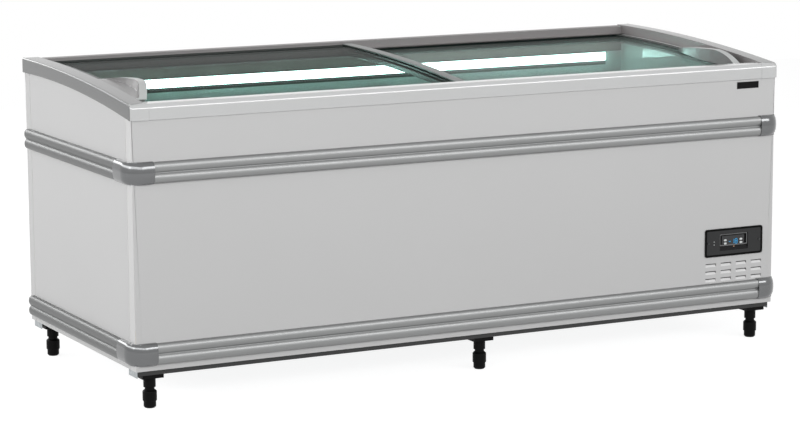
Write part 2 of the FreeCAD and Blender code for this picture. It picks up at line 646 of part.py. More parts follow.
def end_bumper(side, foot_z):
    """A rail along one end, from the corner piece almost to the back."""
    y = (f"{FRONT} + sheet.corner_end_leg", f"{BACK} - sheet.bumper_back_gap")
    strip = box(mirrored(side, END, f"{END} + {RIB_SEAT}"), y, (foot_z, f"{foot_z} + sheet.bumper_height"))
    facing = FACING_RIGHT if side > 0 else FACING_LEFT
    rib_x = f"{side} * ({END} + {RIB_SEAT})"
    ribs = [cylinder(RIB_RADIUS, f"({y[1]}) - ({y[0]})", (rib_x, y[0], f"{foot_z} + {up}"), facing, 180)
            for up in RIB_UP]
    web = box(mirrored(side, END, f"{END} + {GROOVE_OUT}"), y,
              (f"{foot_z} + {RIB_UP[0]}", f"{foot_z} + {RIB_UP[1]}"))
    return fuse(strip, web, *ribs)


def bumper_corner(side, foot_z):
    """A smooth moulded piece round a front corner, rounded in plan and along its outer edges."""
    z = (f"{foot_z} - sheet.corner_lap", f"{foot_z} + sheet.bumper_height + sheet.corner_lap")
    outer = box(mirrored(side, f"{END} - sheet.corner_front_leg", f"{END} + {FRONT_OUT}"),
                (f"{FRONT} - {FRONT_OUT}", f"{FRONT} + sheet.corner_end_leg"), z)
    doc.recompute()
    reach = outer.Shape.BoundBox
    outer_x = reach.XMax if side > 0 else reach.XMin

    def is_bend(edge):
        middle = edge.CenterOfMass
        on_corner = abs(middle.x - outer_x) < 0.01 and abs(middle.y - reach.YMin) < 0.01
        return on_corner and edge.Length > reach.ZLength - 0.01

    bent = rounded(outer, "corner_radius", is_bend)
    inside = box(mirrored(side, "0", END), (FRONT, f"{FRONT} + sheet.body_depth"), z)
    piece = cut(bent, inside)
    face_x = size("body_length") / 2
    face_y = reach.YMin + size("bumper_out") + size("corner_proud")

    def is_long_outer_edge(edge):
        middle = edge.CenterOfMass
        level = abs(middle.z - reach.ZMin) < 0.01 or abs(middle.z - reach.ZMax) < 0.01
        ends = [vertex.Point for vertex in edge.Vertexes]
        outside = all(abs(point.x) > face_x + 1 or point.y < face_y - 1 for point in ends)
        run = (ends[0] - ends[1]).Length
        return level and outside and run > size("bumper_out") + 2 * size("corner_proud")

    return rounded(piece, "corner_round", is_long_outer_edge)


node(group(front_bumper(LOW_BUMPER), front_bumper(MID_BUMPER)), "front_bumper_rails")
node(group(*[end_bumper(side, z) for side in (-1, 1) for z in (LOW_BUMPER, MID_BUMPER)]), "end_bumper_rails")
node(group(*[bumper_corner(side, z) for side in (-1, 1) for z in (LOW_BUMPER, MID_BUMPER)]), "bumper_corners")

# Insulation: foam slabs between the cabinet sheets and the tub, clear of the machine compartment.
machine_space = box((MACHINE_LEFT, f"{END} + sheet.cut_over"),
                    (f"{FRONT} - sheet.cut_over", f"{BACK} + sheet.cut_over"),
                    (f"{PAN_TOP} - sheet.cut_over", MACHINE_TOP))
SKIN_X = (f"-{SKIN_END}", SKIN_END)


def end_slab(side, foot_z):
    """Foam in one end wall, cut to the underside of the end cap's ledge."""
    x = mirrored(side, TUB_END, SKIN_END)
    return common(box(x, (TUB_FRONT, TUB_BACK), (foot_z, "sheet.rim_height")), arch(UNDER_LEDGE, x))


foam = group(
    cut(box(SKIN_X, (SKIN_FRONT, TUB_FRONT), (PAN_TOP, FRONT_SEAM)), machine_space),
    cut(box(SKIN_X, (TUB_BACK, SKIN_BACK), (PAN_TOP, BACK_SEAM)), machine_space),
    end_slab(-1, PAN_TOP),
    end_slab(1, MACHINE_TOP),
    cut(box((f"-{TUB_END}", STEP_X), (TUB_FRONT, TUB_BACK), (PAN_TOP, TUB_FLOOR)), drain_way),
    box((STEP_X, MACHINE_LEFT), (TUB_FRONT, TUB_BACK), (PAN_TOP, STEP_TOP)),
    box((MACHINE_LEFT, TUB_END), (TUB_FRONT, TUB_BACK), (MACHINE_TOP, STEP_TOP)),
)
node(foam, "foam_insulation")

# Tub: flat liner sheets, with a step over the machine compartment.
LINER = "sheet.liner_thick"
LINER_Y = (f"{TUB_FRONT} + {LINER}", f"{TUB_BACK} - {LINER}")
TUB_X = (f"-{TUB_END}", TUB_END)
step_space = box((STEP_X, f"{END} + sheet.cut_over"), (FRONT, BACK),
                 (f"{PAN_TOP} - sheet.cut_over", STEP_TOP))


def liner_end(side, foot_z):
    """An end sheet of the tub, up to the end cap's ledge."""
    x = mirrored(side, f"{TUB_END} - {LINER}", TUB_END)
    return common(box(x, LINER_Y, (foot_z, "sheet.rim_height")), arch(UNDER_LEDGE, x))


node(cut(box(TUB_X, (TUB_FRONT, LINER_Y[0]), (TUB_FLOOR, FRONT_SEAM)), step_space), "liner_front")
node(cut(box(TUB_X, (LINER_Y[1], TUB_BACK), (TUB_FLOOR, BACK_SEAM)), step_space), "liner_back")
node(liner_end(-1, f"{TUB_FLOOR} + {LINER}"), "liner_left")
node(liner_end(1, f"{STEP_TOP} + {LINER}"), "liner_right")
floor_x = (f"-{TUB_END}", f"{STEP_X} - {LINER}")
node(cut(box(floor_x, LINER_Y, (TUB_FLOOR, f"{TUB_FLOOR} + {LINER}")), drain_way), "liner_floor")
step_wall = box((f"{STEP_X} - {LINER}", STEP_X), LINER_Y, (TUB_FLOOR, f"{STEP_TOP} + {LINER}"))
step_tread = box((STEP_X, TUB_END), LINER_Y, (STEP_TOP, f"{STEP_TOP} + {LINER}"))
node(fuse(step_wall, step_tread), "liner_step")


# Evaporator: one serpentine tube on the foam side of the tub's front wall and one on its back wall.
def serpentine(y):
    """A level tube that runs to and fro, with a half-round bend at each turn."""
    bend = size("tube_pitch") / 2
    left = size("wall_thick") + size("tube_end_gap") + bend - size("body_length") / 2
    machine_left = size("body_length") / 2 - size("machine_length")
    right = machine_left - size("floor_foam") - size("tube_end_gap") - bend
    floor_z = size("leg_height") + size("rail_height") + size("pan_thick") + size("floor_foam")
    edges = []
    for run in range(int(size("tube_runs"))):
        z = floor_z + size("tube_low") + run * size("tube_pitch")
        start, finish = (left, right) if run % 2 == 0 else (right, left)
        here = FreeCAD.Vector(finish, y, z)
        edges.append(Part.LineSegment(FreeCAD.Vector(start, y, z), here).toShape())
        if run + 1 < int(size("tube_runs")):
            out = bend if run % 2 == 0 else -bend
            side = FreeCAD.Vector(finish + out, y, z + bend)
            edges.append(Part.Arc(here, side, FreeCAD.Vector(finish, y, z + 2 * bend)).toShape())
    path = Part.Wire(edges)
    start = edges[0].Vertexes[0].Point
    ring = Part.Wire([Part.makeCircle(size("tube_radius"), start, ALONG_X)])
    return path.makePipeShell([ring], True, False)


front_y = size("bumper_out") + size("corner_proud")
front_y -= (size("body_depth") + front_y + size("cap_overhang")) / 2
back_y = front_y + size("body_depth")
tube_off = size("tube_radius") + size("tube_gap")
coil = doc.addObject("Part::Feature", "coil")
coil.Shape = Part.makeCompound([serpentine(front_y + size("wall_thick") - tube_off),
                                serpentine(back_y - size("wall_thick") + tube_off)])
node(coil, "evaporator_coil")

# Top frame: extruded profiles along the front and back, each with two tracks for the lids.
PROFILE_END = f"({CAP_END} - sheet.cap_wrap)"


def front_outline():
    """The front profile's section: outer face, top, upper track, lower track and inner lip."""
    outer = f"{FRONT} - sheet.cap_overhang"
    deep = f"{LID_FRONT} - sheet.groove_clear"
    lip = f"{FRONT} + sheet.breaker_width"
    high, low = seat(LID_FRONT, UPPER), seat(LID_FRONT, LOWER)
    web = f"{high} - sheet.track_web"
    return [(outer, FRONT_SEAM), (outer, FRONT_TOP), (FRONT_INNER, FRONT_TOP),
            (FRONT_INNER, FRONT_GROOVE_TOP), (deep, FRONT_GROOVE_TOP), (deep, high), (FRONT_INNER, high),
            (FRONT_INNER, web), (deep, web), (deep, low), (lip, low), (lip, FRONT_SEAM)]


def back_outline():
    """The back profile's section: the same tracks turned round and higher, the upper one open at its top."""
    outer = f"{BACK} + sheet.cap_overhang"
    deep = f"{LID_BACK} + sheet.groove_clear"
    lip = f"{BACK} - sheet.breaker_width"
    high, low = seat(LID_BACK, UPPER), seat(LID_BACK, LOWER)
    web = f"{high} - sheet.track_web"
    return [(outer, BACK_SEAM), (outer, BACK_TOP), (deep, BACK_TOP), (deep, high), (BACK_INNER, high),
            (BACK_INNER, web), (deep, web), (deep, low), (lip, low), (lip, BACK_SEAM)]


def outer_top_edge(point):
    """Highest for the long edge at the top of a front profile's outer face."""
    return point.z - point.y


front_profile = section(front_outline(), f"-{PROFILE_END}", f"2 * {PROFILE_END}")
node(round_body(front_profile, "profile_round", outer_top_edge), "front_profile")
node(section(back_outline(), f"-{CAP_WALL}", f"2 * {CAP_WALL}"), "back_profile")


# End caps: arched mouldings with a top strip, an inner wall and a ledge, wrapped round the front corner.
def end_cap(side):
    """The arched wall, its outer band, its inner ledge and its piece of the front profile."""
    whole_y = (f"{FRONT} - sheet.cap_overhang", f"{BACK} + sheet.cap_overhang")
    wall_x = mirrored(side, CAP_WALL, SKIN_END)
    front_foam = box(wall_x, (FRONT, TUB_FRONT), ("sheet.leg_height", FRONT_SEAM))
    back_foam = box(wall_x, (TUB_BACK, BACK), ("sheet.leg_height", BACK_SEAM))
    wall = cut(arched("0", LEDGE_FOOT, wall_x, (SKIN_FRONT, SKIN_BACK)), front_foam, back_foam)
    x = mirrored(side, CAP_WALL, CAP_END)
    over = common(arch("0", x), box(x, whole_y, ("sheet.leg_height", "sheet.rim_height + sheet.cut_over")))
    cap_x = size("body_length") / 2 + size("cap_overhang")

    def is_front_top(edge):
        middle = edge.CenterOfMass
        return edge.BoundBox.XLength > 1 and middle.y < front_y and middle.z > size("rim_height") / 2

    def is_outer(edge):
        middle = edge.CenterOfMass
        on_face = edge.BoundBox.XLength < 0.01 and abs(abs(middle.x) - cap_x) < 0.01
        return on_face and middle.y < back_y and middle.z > size("leg_height") + 1

    smooth = rounded(rounded(over, "profile_round", is_front_top), "cap_round", is_outer)
    outside = box(mirrored(side, SKIN_END, f"{CAP_END} + sheet.cut_over"), whole_y,
                  ("sheet.leg_height", "sheet.rim_height + sheet.cut_over"))
    skin = common(cut(smooth, band_arch(x)), outside)
    ledge = arched("sheet.ledge_drop", LEDGE_FOOT, mirrored(side, f"{CAP_END} - sheet.ledge_reach", CAP_WALL),
                   (f"{FRONT} + sheet.breaker_width", f"{BACK} - sheet.breaker_width"))
    start = PROFILE_END if side > 0 else f"-{SKIN_END}"
    wrap = round_body(section(front_outline(), start, f"{SKIN_END} - {PROFILE_END}"), "profile_round",
                      outer_top_edge)
    return fuse(wall, skin, ledge, wrap)


node(end_cap(-1), "left_end_cap")
node(end_cap(1), "right_end_cap")


# Corner lips: a curved lip from each end cap's wall to the front profile, with a floored pocket behind it.
def corner_lip(side):
    """The lip as a crescent in plan, and the pocket between it and the end cap, both taller than needed."""
    wall_x = size("body_length") / 2 + size("cap_overhang") - size("cap_width")
    start_y = front_y + size("profile_width")

    def at(inward, back):
        return FreeCAD.Vector(side * (wall_x - inward), start_y + back, 0)

    back, full, bulge = size("lip_back"), size("lip_bulge_back"), size("lip_bulge")
    foot_in, band = size("lip_foot"), size("lip_band")
    front = size("lip_front")
    inner = Part.Arc(at(0, back), at(bulge, full), at(foot_in, front)).toShape()
    pocket_full = at(bulge - band, full - band / 2)
    outer = Part.Arc(at(foot_in - band, front), pocket_full, at(0, back - band)).toShape()
    ends = [Part.LineSegment(at(foot_in, front), at(foot_in - band, front)).toShape(),
            Part.LineSegment(at(0, back - band), at(0, back)).toShape()]
    walls = [Part.LineSegment(at(0, back - band), at(0, front)).toShape(),
             Part.LineSegment(at(0, front), at(foot_in - band, front)).toShape()]
    lip_plan = Part.Face(Part.Wire([inner, ends[0], outer, ends[1]]))
    pocket_plan = Part.Face(Part.Wire([outer, walls[0], walls[1]]))
    height = FreeCAD.Vector(0, 0, size("rim_height") + size("lip_rise"))
    return lip_plan.extrude(height), pocket_plan.extrude(height)


def lip_side_view(top):
    """The lip's side view, over the width of both lips, falling to the back and bent down in front."""
    bend = size("lip_bend")
    full_y = front_y + size("profile_width") + size("lip_bulge_back")
    back_end = front_y + size("profile_width") + size("lip_back")
    points = [FreeCAD.Vector(0, full_y - bend, 0), FreeCAD.Vector(0, full_y - bend, top - bend),
              FreeCAD.Vector(0, full_y, top), FreeCAD.Vector(0, back_end, top - size("lip_root_drop")),
              FreeCAD.Vector(0, back_end, 0)]
    slant = bend * math.sqrt(0.5)
    turn = Part.Arc(points[1], FreeCAD.Vector(0, full_y - slant, top - bend + slant), points[2]).toShape()
    halfway = FreeCAD.Vector(0, (full_y + back_end) / 2, top - size("lip_root_drop") / 4)
    fall = Part.Arc(points[2], halfway, points[3]).toShape()
    lines = [Part.LineSegment(points[i], points[j]).toShape() for i, j in ((0, 1), (3, 4), (4, 0))]
    view = Part.Face(Part.Wire([lines[0], turn, fall, lines[1], lines[2]]))
    view.translate(FreeCAD.Vector(-size("body_length"), 0, 0))
    return view.extrude(FreeCAD.Vector(2 * size("body_length"), 0, 0))


def lid_space(drop, above):
    """The space under a lid's glass top and a height above it, as a solid."""
    radius = size("rim_radius") - drop + above
    centre = FreeCAD.Vector(-size("body_length"), back_y - size("rim_apex_inset"),
                            size("rim_height") - size("rim_radius"))
    return Part.makeCylinder(radius, 2 * size("body_length"), centre, ALONG_X)


doc.recompute()
front_top = front_profile.Shape.BoundBox.ZMax
lip_top = front_top + size("lip_rise")
for side, label, top, drop in (
        (-1, "left_corner_lip", lip_top, size("glass_drop")),
        (1, "right_corner_lip", lip_top - size("lip_step"), size("glass_drop") + size("track_pitch"))):
    band, pocket = corner_lip(side)
    floor = pocket.common(lid_space(drop, size("lip_clear") + size("lip_floor")))
    lip = doc.addObject("Part::Feature", "lip")
    lip.Shape = band.fuse(floor).common(lip_side_view(top)).cut(lid_space(drop, size("lip_clear"))).Solids[0]
    node(lip, label)

# Lids: curved glass on two runners, with an end bar and a middle bar over its edges.
LID_OUT = f"({CAP_WALL} - sheet.lid_end_gap)"
BAR_Y = (f"{FRONT_INNER} + sheet.bar_end_clear", f"{BACK_INNER} - sheet.bar_end_clear")


def lid(name, drop, low, high, end_first):
    """One lid between two x expressions, its end bar on the low or on the high side."""
    first, last = "sheet.end_bar_width", "sheet.bar_width"
    if not end_first:
        first, last = last, first
    glass_x = (f"{low} + {first} - sheet.bar_grip", f"{high} - {last} + sheet.bar_grip")
    under = f"({drop} + sheet.glass_thick)"
    glass = node(arched(drop, under, glass_x, (LID_FRONT, LID_BACK)), f"{name}_glass")
    runners = []
    for near, far, edge in ((LID_FRONT, f"{LID_FRONT} + sheet.runner_width", LID_FRONT),
                            (f"{LID_BACK} - sheet.runner_width", LID_BACK, LID_BACK)):
        foot_z = f"{seat(edge, drop)} + sheet.run_gap"
        runners.append(common(box(glass_x, (near, far), (foot_z, "sheet.rim_height")), arch(under, glass_x)))
    node(group(*runners), f"{name}_runners")
    bars = {"end_bar": (low, f"{low} + {first}"), "middle_bar": (f"{high} - {last}", high)}
    if not end_first:
        bars = {"middle_bar": bars["end_bar"], "end_bar": bars["middle_bar"]}
    for bar, x in bars.items():
        above = "sheet.end_bar_lip" if bar == "end_bar" else "sheet.bar_lip"
        blank = arched(f"({drop} - {above})", f"({under} + sheet.bar_lip)", x, BAR_Y)
        node(cut(blank, glass), f"{name}_{bar}")


LEFT_LID_EDGE = "(sheet.lid_middle + sheet.lid_overlap / 2)"
RIGHT_LID_EDGE = "(sheet.lid_middle - sheet.lid_overlap / 2)"
lid("left_lid", UPPER, f"-{LID_OUT}", LEFT_LID_EDGE, True)
lid("right_lid", LOWER, RIGHT_LID_EDGE, LID_OUT, False)
BAR_FOOT = f"({UPPER} + sheet.glass_thick + sheet.bar_lip)"
seal_x = (f"{LEFT_LID_EDGE} - sheet.seal_inset - sheet.seal_width", f"{LEFT_LID_EDGE} - sheet.seal_inset")
node(arched(BAR_FOOT, f"({BAR_FOOT} + sheet.seal_height)", seal_x, BAR_Y), "lid_wiper_seal")

# Lamp: a housing along the tub's back wall with a diffuser in front of it.
LAMP_X = (f"sheet.lamp_end_gap - {TUB_END}", f"{TUB_END} - sheet.lamp_end_gap")
LAMP_Z = (f"{BACK_SEAM} - sheet.lamp_drop - sheet.lamp_height", f"{BACK_SEAM} - sheet.lamp_drop")
LAMP_FACE = f"({LINER_Y[1]} - sheet.lamp_depth)"
node(box(LAMP_X, (LAMP_FACE, LINER_Y[1]), LAMP_Z), "lamp_housing")
node(box(LAMP_X, (f"{LAMP_FACE} - sheet.diffuser_depth", LAMP_FACE), LAMP_Z), "lamp_diffuser")

# Controls: a bare plate, the bezel with its recess, the controller in it, its buttons and the bezel's screws.
BADGE_X = f"({END} - sheet.badge_x)"
BADGE_Z = f"({FRONT_SEAM} - sheet.badge_drop)"
badge = box((f"{BADGE_X} - sheet.badge_width / 2", f"{BADGE_X} + sheet.badge_width / 2"),
            (f"{FRONT} - sheet.badge_thick", FRONT),
            (f"{BADGE_Z} - sheet.badge_height / 2", f"{BADGE_Z} + sheet.badge_height / 2"))
node(badge, "front_plate")


def control_box(width, height, y):
    """A box centred on the controller."""
    return box((f"{BEZEL_X} - {width} / 2", f"{BEZEL_X} + {width} / 2"), y,
               (f"{BEZEL_Z} - {height} / 2", f"{BEZEL_Z} + {height} / 2"))


BEZEL_FACE = f"({FRONT} - sheet.bezel_thick)"
TRAY_BACK = f"({FRONT} + sheet.bezel_tray)"
POCKET_BACK = f"({TRAY_BACK} - sheet.pocket_floor)"
UNIT_FACE = f"({POCKET_BACK} - sheet.unit_thick)"
SCREW_SIDES = (-1, 1)
tray_width = f"(2 * {CUTOUT_HALF_X} - 2 * sheet.bezel_fit)"
tray_height = f"(2 * {CUTOUT_HALF_Z} - 2 * sheet.bezel_fit)"


def runs_along_y(edge):
    """True for the short edges at the bezel's corners."""
    return edge.BoundBox.YLength > 1


bezel_plate = control_box("sheet.bezel_width", "sheet.bezel_height", (BEZEL_FACE, FRONT))
bezel_blank = fuse(rounded(bezel_plate, "bezel_round", runs_along_y),
                   control_box(tray_width, tray_height, (FRONT, TRAY_BACK)))
bezel_pocket = control_box("sheet.pocket_width", "sheet.pocket_height",
                           (f"{BEZEL_FACE} - sheet.cut_over", POCKET_BACK))
unit_hole = control_box("sheet.unit_body_width", "sheet.unit_body_height",
                        (POCKET_BACK, f"{TRAY_BACK} + sheet.cut_over"))
screw_holes = [cylinder("sheet.screw_shank", "sheet.screw_length",
                        (f"{BEZEL_X} + {side} * sheet.screw_x", BEZEL_FACE, BEZEL_Z), TURN_TO_Y)
               for side in SCREW_SIDES]
node(cut(bezel_blank, bezel_pocket, unit_hole, *screw_holes), "controller_bezel")

BUTTON_PLACES = {
    "button_set": (-1, 1),
    "button_defrost": (-1, -1),
    "button_up": (1, 1),
    "button_down": (1, -1),
}


def button_shape(across, up, start_y, length, radius):
    """A flat oval along Y in a button's place."""
    x, z = f"{BEZEL_X} + {across} * sheet.button_x", f"{BEZEL_Z} + {up} * sheet.button_z"
    ends = (f"{x} - sheet.button_flat / 2", f"{x} + sheet.button_flat / 2")
    middle = box(ends, (start_y, f"{start_y} + {length}"), (f"{z} - ({radius})", f"{z} + ({radius})"))
    return fuse(middle, *[cylinder(radius, length, (end, start_y, z), TURN_TO_Y) for end in ends])


unit_blank = fuse(control_box("sheet.unit_width", "sheet.unit_height", (UNIT_FACE, POCKET_BACK)),
                  control_box("sheet.unit_body_width", "sheet.unit_body_height",
                              (POCKET_BACK, f"{POCKET_BACK} + sheet.unit_body_depth")))
wells = []
buttons = {}
for label, (across, up) in BUTTON_PLACES.items():
    wells.append(button_shape(across, up, UNIT_FACE, "sheet.button_depth + sheet.button_travel",
                              "sheet.button_radius + sheet.button_clear"))
    buttons[label] = button_shape(across, up, f"{UNIT_FACE} - sheet.button_out",
                                  "sheet.button_out + sheet.button_depth", "sheet.button_radius")
node(cut(unit_blank, *wells), "controller_unit")
for label, item in buttons.items():
    node(item, label)


def bezel_screw(side):
    """A screw through the bezel."""
    x = f"{BEZEL_X} + {side} * sheet.screw_x"
    head = cylinder("sheet.screw_head", "sheet.screw_head_thick",
                    (x, f"{BEZEL_FACE} - sheet.screw_head_thick", BEZEL_Z), TURN_TO_Y)
    shank = cylinder("sheet.screw_shank", "sheet.screw_length", (x, BEZEL_FACE, BEZEL_Z), TURN_TO_Y)
    return fuse(head, shank)


node(group(*[bezel_screw(side) for side in SCREW_SIDES]), "bezel_screws")

# Machines: compressor on rubber mounts, condenser with shroud, motor and fan, and the filter dryer.
MACHINE_X = f"({END} - sheet.machine_mid)"
COMPRESSOR_Y = f"({BACK} - sheet.compressor_back)"
PLATE_Z = f"({PAN_TOP} + sheet.mount_height)"
SHELL_Z = f"({PLATE_Z} + sheet.mount_plate)"
half_plate = "sheet.mount_plate_side / 2"
compressor_plate = box((f"{MACHINE_X} - {half_plate}", f"{MACHINE_X} + {half_plate}"),
                       (f"{COMPRESSOR_Y} - {half_plate}", f"{COMPRESSOR_Y} + {half_plate}"),
                       (PLATE_Z, SHELL_Z))
shell = cylinder("sheet.compressor_radius", "sheet.compressor_height", (MACHINE_X, COMPRESSOR_Y, SHELL_Z))
domed = rounded(shell, "compressor_round", lambda edge: len(edge.Vertexes) == 1 and edge.CenterOfMass.z
                > shell.Shape.CenterOfMass.z)
node(fuse(domed, compressor_plate), "compressor")
node(group(*[cylinder("sheet.mount_radius", "sheet.mount_height",
                      (f"{MACHINE_X} + {across} * sheet.mount_spacing / 2",
                       f"{COMPRESSOR_Y} + {along} * sheet.mount_spacing / 2", PAN_TOP))
             for across in (-1, 1) for along in (-1, 1)]), "compressor_mounts")

CONDENSER_Y = f"({FRONT} + sheet.condenser_front)"
SHROUD_Y = f"({CONDENSER_Y} + sheet.condenser_depth)"
SPIDER_BACK = f"({SHROUD_Y} + sheet.shroud_depth)"
SPIDER_FRONT = f"({SPIDER_BACK} - sheet.spider_thick)"
FAN_Z = f"({PAN_TOP} + sheet.condenser_height / 2)"
CORE_X = (f"{MACHINE_X} - sheet.condenser_width / 2", f"{MACHINE_X} + sheet.condenser_width / 2")
CORE_Z = (PAN_TOP, f"{PAN_TOP} + sheet.condenser_height")
node(box(CORE_X, (CONDENSER_Y, SHROUD_Y), CORE_Z), "condenser")

shroud_hole = cylinder("sheet.shroud_bore", "sheet.shroud_depth", (MACHINE_X, SHROUD_Y, FAN_Z), TURN_TO_Y)
shroud_ring = cut(box(CORE_X, (SHROUD_Y, SPIDER_BACK), CORE_Z), shroud_hole)
spider = box(CORE_X, (SPIDER_FRONT, SPIDER_BACK),
             (f"{FAN_Z} - sheet.spider_width / 2", f"{FAN_Z} + sheet.spider_width / 2"))
shaft_hole = cylinder("sheet.shaft_radius + sheet.shaft_clear", "sheet.spider_thick",
                      (MACHINE_X, SPIDER_FRONT, FAN_Z), TURN_TO_Y)
node(cut(fuse(shroud_ring, spider), shaft_hole), "fan_shroud")

HUB_BACK = f"({SPIDER_FRONT} - sheet.hub_gap)"
HUB_FRONT = f"({HUB_BACK} - sheet.hub_length)"
motor_shell = cylinder("sheet.motor_radius", "sheet.motor_length", (MACHINE_X, SPIDER_BACK, FAN_Z), TURN_TO_Y)
motor_shaft = cylinder("sheet.shaft_radius", f"{SPIDER_BACK} - {HUB_FRONT}",
                       (MACHINE_X, HUB_FRONT, FAN_Z), TURN_TO_Y)
node(fuse(motor_shell, motor_shaft), "fan_motor")


def fan_blade(index):
    """A flat blade set at the fan's pitch, out from the hub."""
    blade = doc.addObject("Part::Box", "blade")
    blade.setExpression("Length", "sheet.blade_width")
    blade.setExpression("Width", "sheet.blade_thick")
    blade.setExpression("Height", "sheet.fan_radius - sheet.hub_radius / 2")
    angle = 360 * index / int(size("blade_count"))
    around = FreeCAD.Rotation(ALONG_Y, angle)
    pitched = around.multiply(FreeCAD.Rotation(UP, size("blade_pitch")))
    corner = FreeCAD.Vector(-size("blade_width") / 2, -size("blade_thick") / 2, size("hub_radius") / 2)
    moved = pitched.multVec(corner)
    middle = f"(({HUB_FRONT} + {HUB_BACK}) / 2)"
    base = (f"{MACHINE_X} + ({moved.x})", f"{middle} + ({moved.y})", f"{FAN_Z} + ({moved.z})")
    return place(blade, base, pitched)


hub = cylinder("sheet.hub_radius", "sheet.hub_length", (MACHINE_X, HUB_FRONT, FAN_Z), TURN_TO_Y)
hub_bore = cylinder("sheet.shaft_radius + sheet.shaft_clear", "sheet.hub_length",
                    (MACHINE_X, HUB_FRONT, FAN_Z), TURN_TO_Y)
blades = [fan_blade(i) for i in range(int(size("blade_count")))]
node(cut(fuse(hub, *blades), hub_bore), "fan")

dryer_start = f"({MACHINE_X} - sheet.dryer_length / 2)"
dryer = cylinder("sheet.dryer_radius", "sheet.dryer_length",
                 (dryer_start, f"{BACK} - sheet.dryer_back", f"{PAN_TOP} + sheet.dryer_radius"), TURN_TO_X)
node(dryer, "filter_dryer")

# Services: the cord gland in the back panel, and the drain with its plug in the tub floor.
gland_body = cylinder("sheet.gland_radius", "sheet.gland_depth",
                      (GLAND_X, f"{BACK} - sheet.gland_depth", GLAND_Z), TURN_TO_Y)
gland_rim = cylinder("sheet.gland_flange", "sheet.gland_flange_thick", (GLAND_X, BACK, GLAND_Z), TURN_TO_Y)
gland_bore = cylinder("sheet.gland_bore", "sheet.gland_depth + sheet.gland_flange_thick + 2 * sheet.cut_over",
                      (GLAND_X, f"{BACK} - sheet.gland_depth - sheet.cut_over", GLAND_Z), TURN_TO_Y)
node(cut(fuse(gland_body, gland_rim), gland_bore), "cord_gland")

DRAIN_TOP = f"({TUB_FLOOR} + sheet.liner_thick)"
DRAIN_FOOT = f"({PAN_FOOT} - sheet.drain_below)"
drain_pipe = cylinder(DRAIN_OUTSIDE, f"{DRAIN_TOP} - {DRAIN_FOOT}", (DRAIN_X, DRAIN_Y, DRAIN_FOOT))
drain_rim = cylinder("sheet.drain_flange", "sheet.drain_flange_thick", (DRAIN_X, DRAIN_Y, DRAIN_TOP))
drain_hole = cylinder("sheet.drain_bore", f"{DRAIN_TOP} + sheet.drain_flange_thick - {DRAIN_FOOT}",
                      (DRAIN_X, DRAIN_Y, DRAIN_FOOT))
node(cut(fuse(drain_pipe, drain_rim), drain_hole), "drain_tube")

PLUG_Z = f"({DRAIN_TOP} + sheet.drain_flange_thick)"
plug_stem = cylinder("sheet.drain_bore - sheet.plug_clear", "sheet.plug_depth",
                     (DRAIN_X, DRAIN_Y, f"{PLUG_Z} - sheet.plug_depth"))
plug_head = cylinder("sheet.plug_head", "sheet.plug_head_thick", (DRAIN_X, DRAIN_Y, PLUG_Z))
node(fuse(plug_stem, plug_head), "drain_plug")

doc.recompute()
for item in doc.Objects:
    if "Invalid" in item.State or "Error" in item.State:
        raise RuntimeError(f"{item.Label} failed: {item.State}")
for item in nodes:
    if item.Shape.isNull() or not item.Shape.isValid() or not item.Shape.Solids:
        raise RuntimeError(f"{item.Label} has no valid solid")

os.makedirs("parts", exist_ok=True)
for item in nodes:
    item.Shape.exportStep(f"parts/{item.Label}.step")
    bounds = item.Shape.BoundBox
    print(f"{item.Label}: {len(item.Shape.Solids)} solids, {item.Shape.Volume / 1000:.1f} cm3, "
          f"z {bounds.ZMin:.1f} to {bounds.ZMax:.1f}")
print(len(nodes), "nodes")
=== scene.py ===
"""Island freezer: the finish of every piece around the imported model, on a pale studio floor."""
import bmesh
import bpy
import json
import math
from mathutils import Matrix, Vector


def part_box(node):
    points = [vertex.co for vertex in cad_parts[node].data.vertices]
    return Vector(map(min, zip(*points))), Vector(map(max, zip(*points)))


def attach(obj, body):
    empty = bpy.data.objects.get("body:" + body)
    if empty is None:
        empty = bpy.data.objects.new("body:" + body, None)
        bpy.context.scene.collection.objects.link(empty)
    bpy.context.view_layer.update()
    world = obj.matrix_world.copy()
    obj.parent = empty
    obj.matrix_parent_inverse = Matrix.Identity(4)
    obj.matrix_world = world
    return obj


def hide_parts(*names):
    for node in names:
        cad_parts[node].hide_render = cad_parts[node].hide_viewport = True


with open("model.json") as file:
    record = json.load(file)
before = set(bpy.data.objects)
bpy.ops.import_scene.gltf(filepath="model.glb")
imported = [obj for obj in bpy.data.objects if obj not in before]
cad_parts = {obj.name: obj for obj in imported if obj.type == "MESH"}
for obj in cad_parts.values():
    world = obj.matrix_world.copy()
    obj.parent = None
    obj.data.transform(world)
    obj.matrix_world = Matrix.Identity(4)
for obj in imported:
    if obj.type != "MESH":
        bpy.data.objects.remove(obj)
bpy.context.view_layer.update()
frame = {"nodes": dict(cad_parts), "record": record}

# Base rails and pan
# Two roll-formed steel channels, painted satin black, carry the cabinet along its whole length. A
# galvanised plate closes each end, and a flat galvanised pan lies on the rails under the foam.
MM = 0.001
SAME_POINT = 1e-6
FLAT_ANGLE = math.radians(0.03)
HARD_ANGLE = math.radians(32)
BEND_SEGMENTS = 5
EDGE_SEGMENTS = 3
# The sockets of a colour mix, by their place
MIX_AMOUNT = 0
MIX_FROM = 6
MIX_TO = 7
MIX_RESULT = 2
SPRAY_DRIFT_MM = 400
PEEL_STRENGTH = 0.25
BODY_OF = {node: body for body, nodes in frame["record"]["behaviour"]["bodies"].items() for node in nodes}


def linear(hex_colour):
    """An sRGB hex colour as linear RGBA."""
    parts = [int(hex_colour[i:i + 2], 16) / 255 for i in (1, 3, 5)]
    return [p / 12.92 if p <= 0.04045 else ((p + 0.055) / 1.055) ** 2.4 for p in parts] + [1.0]


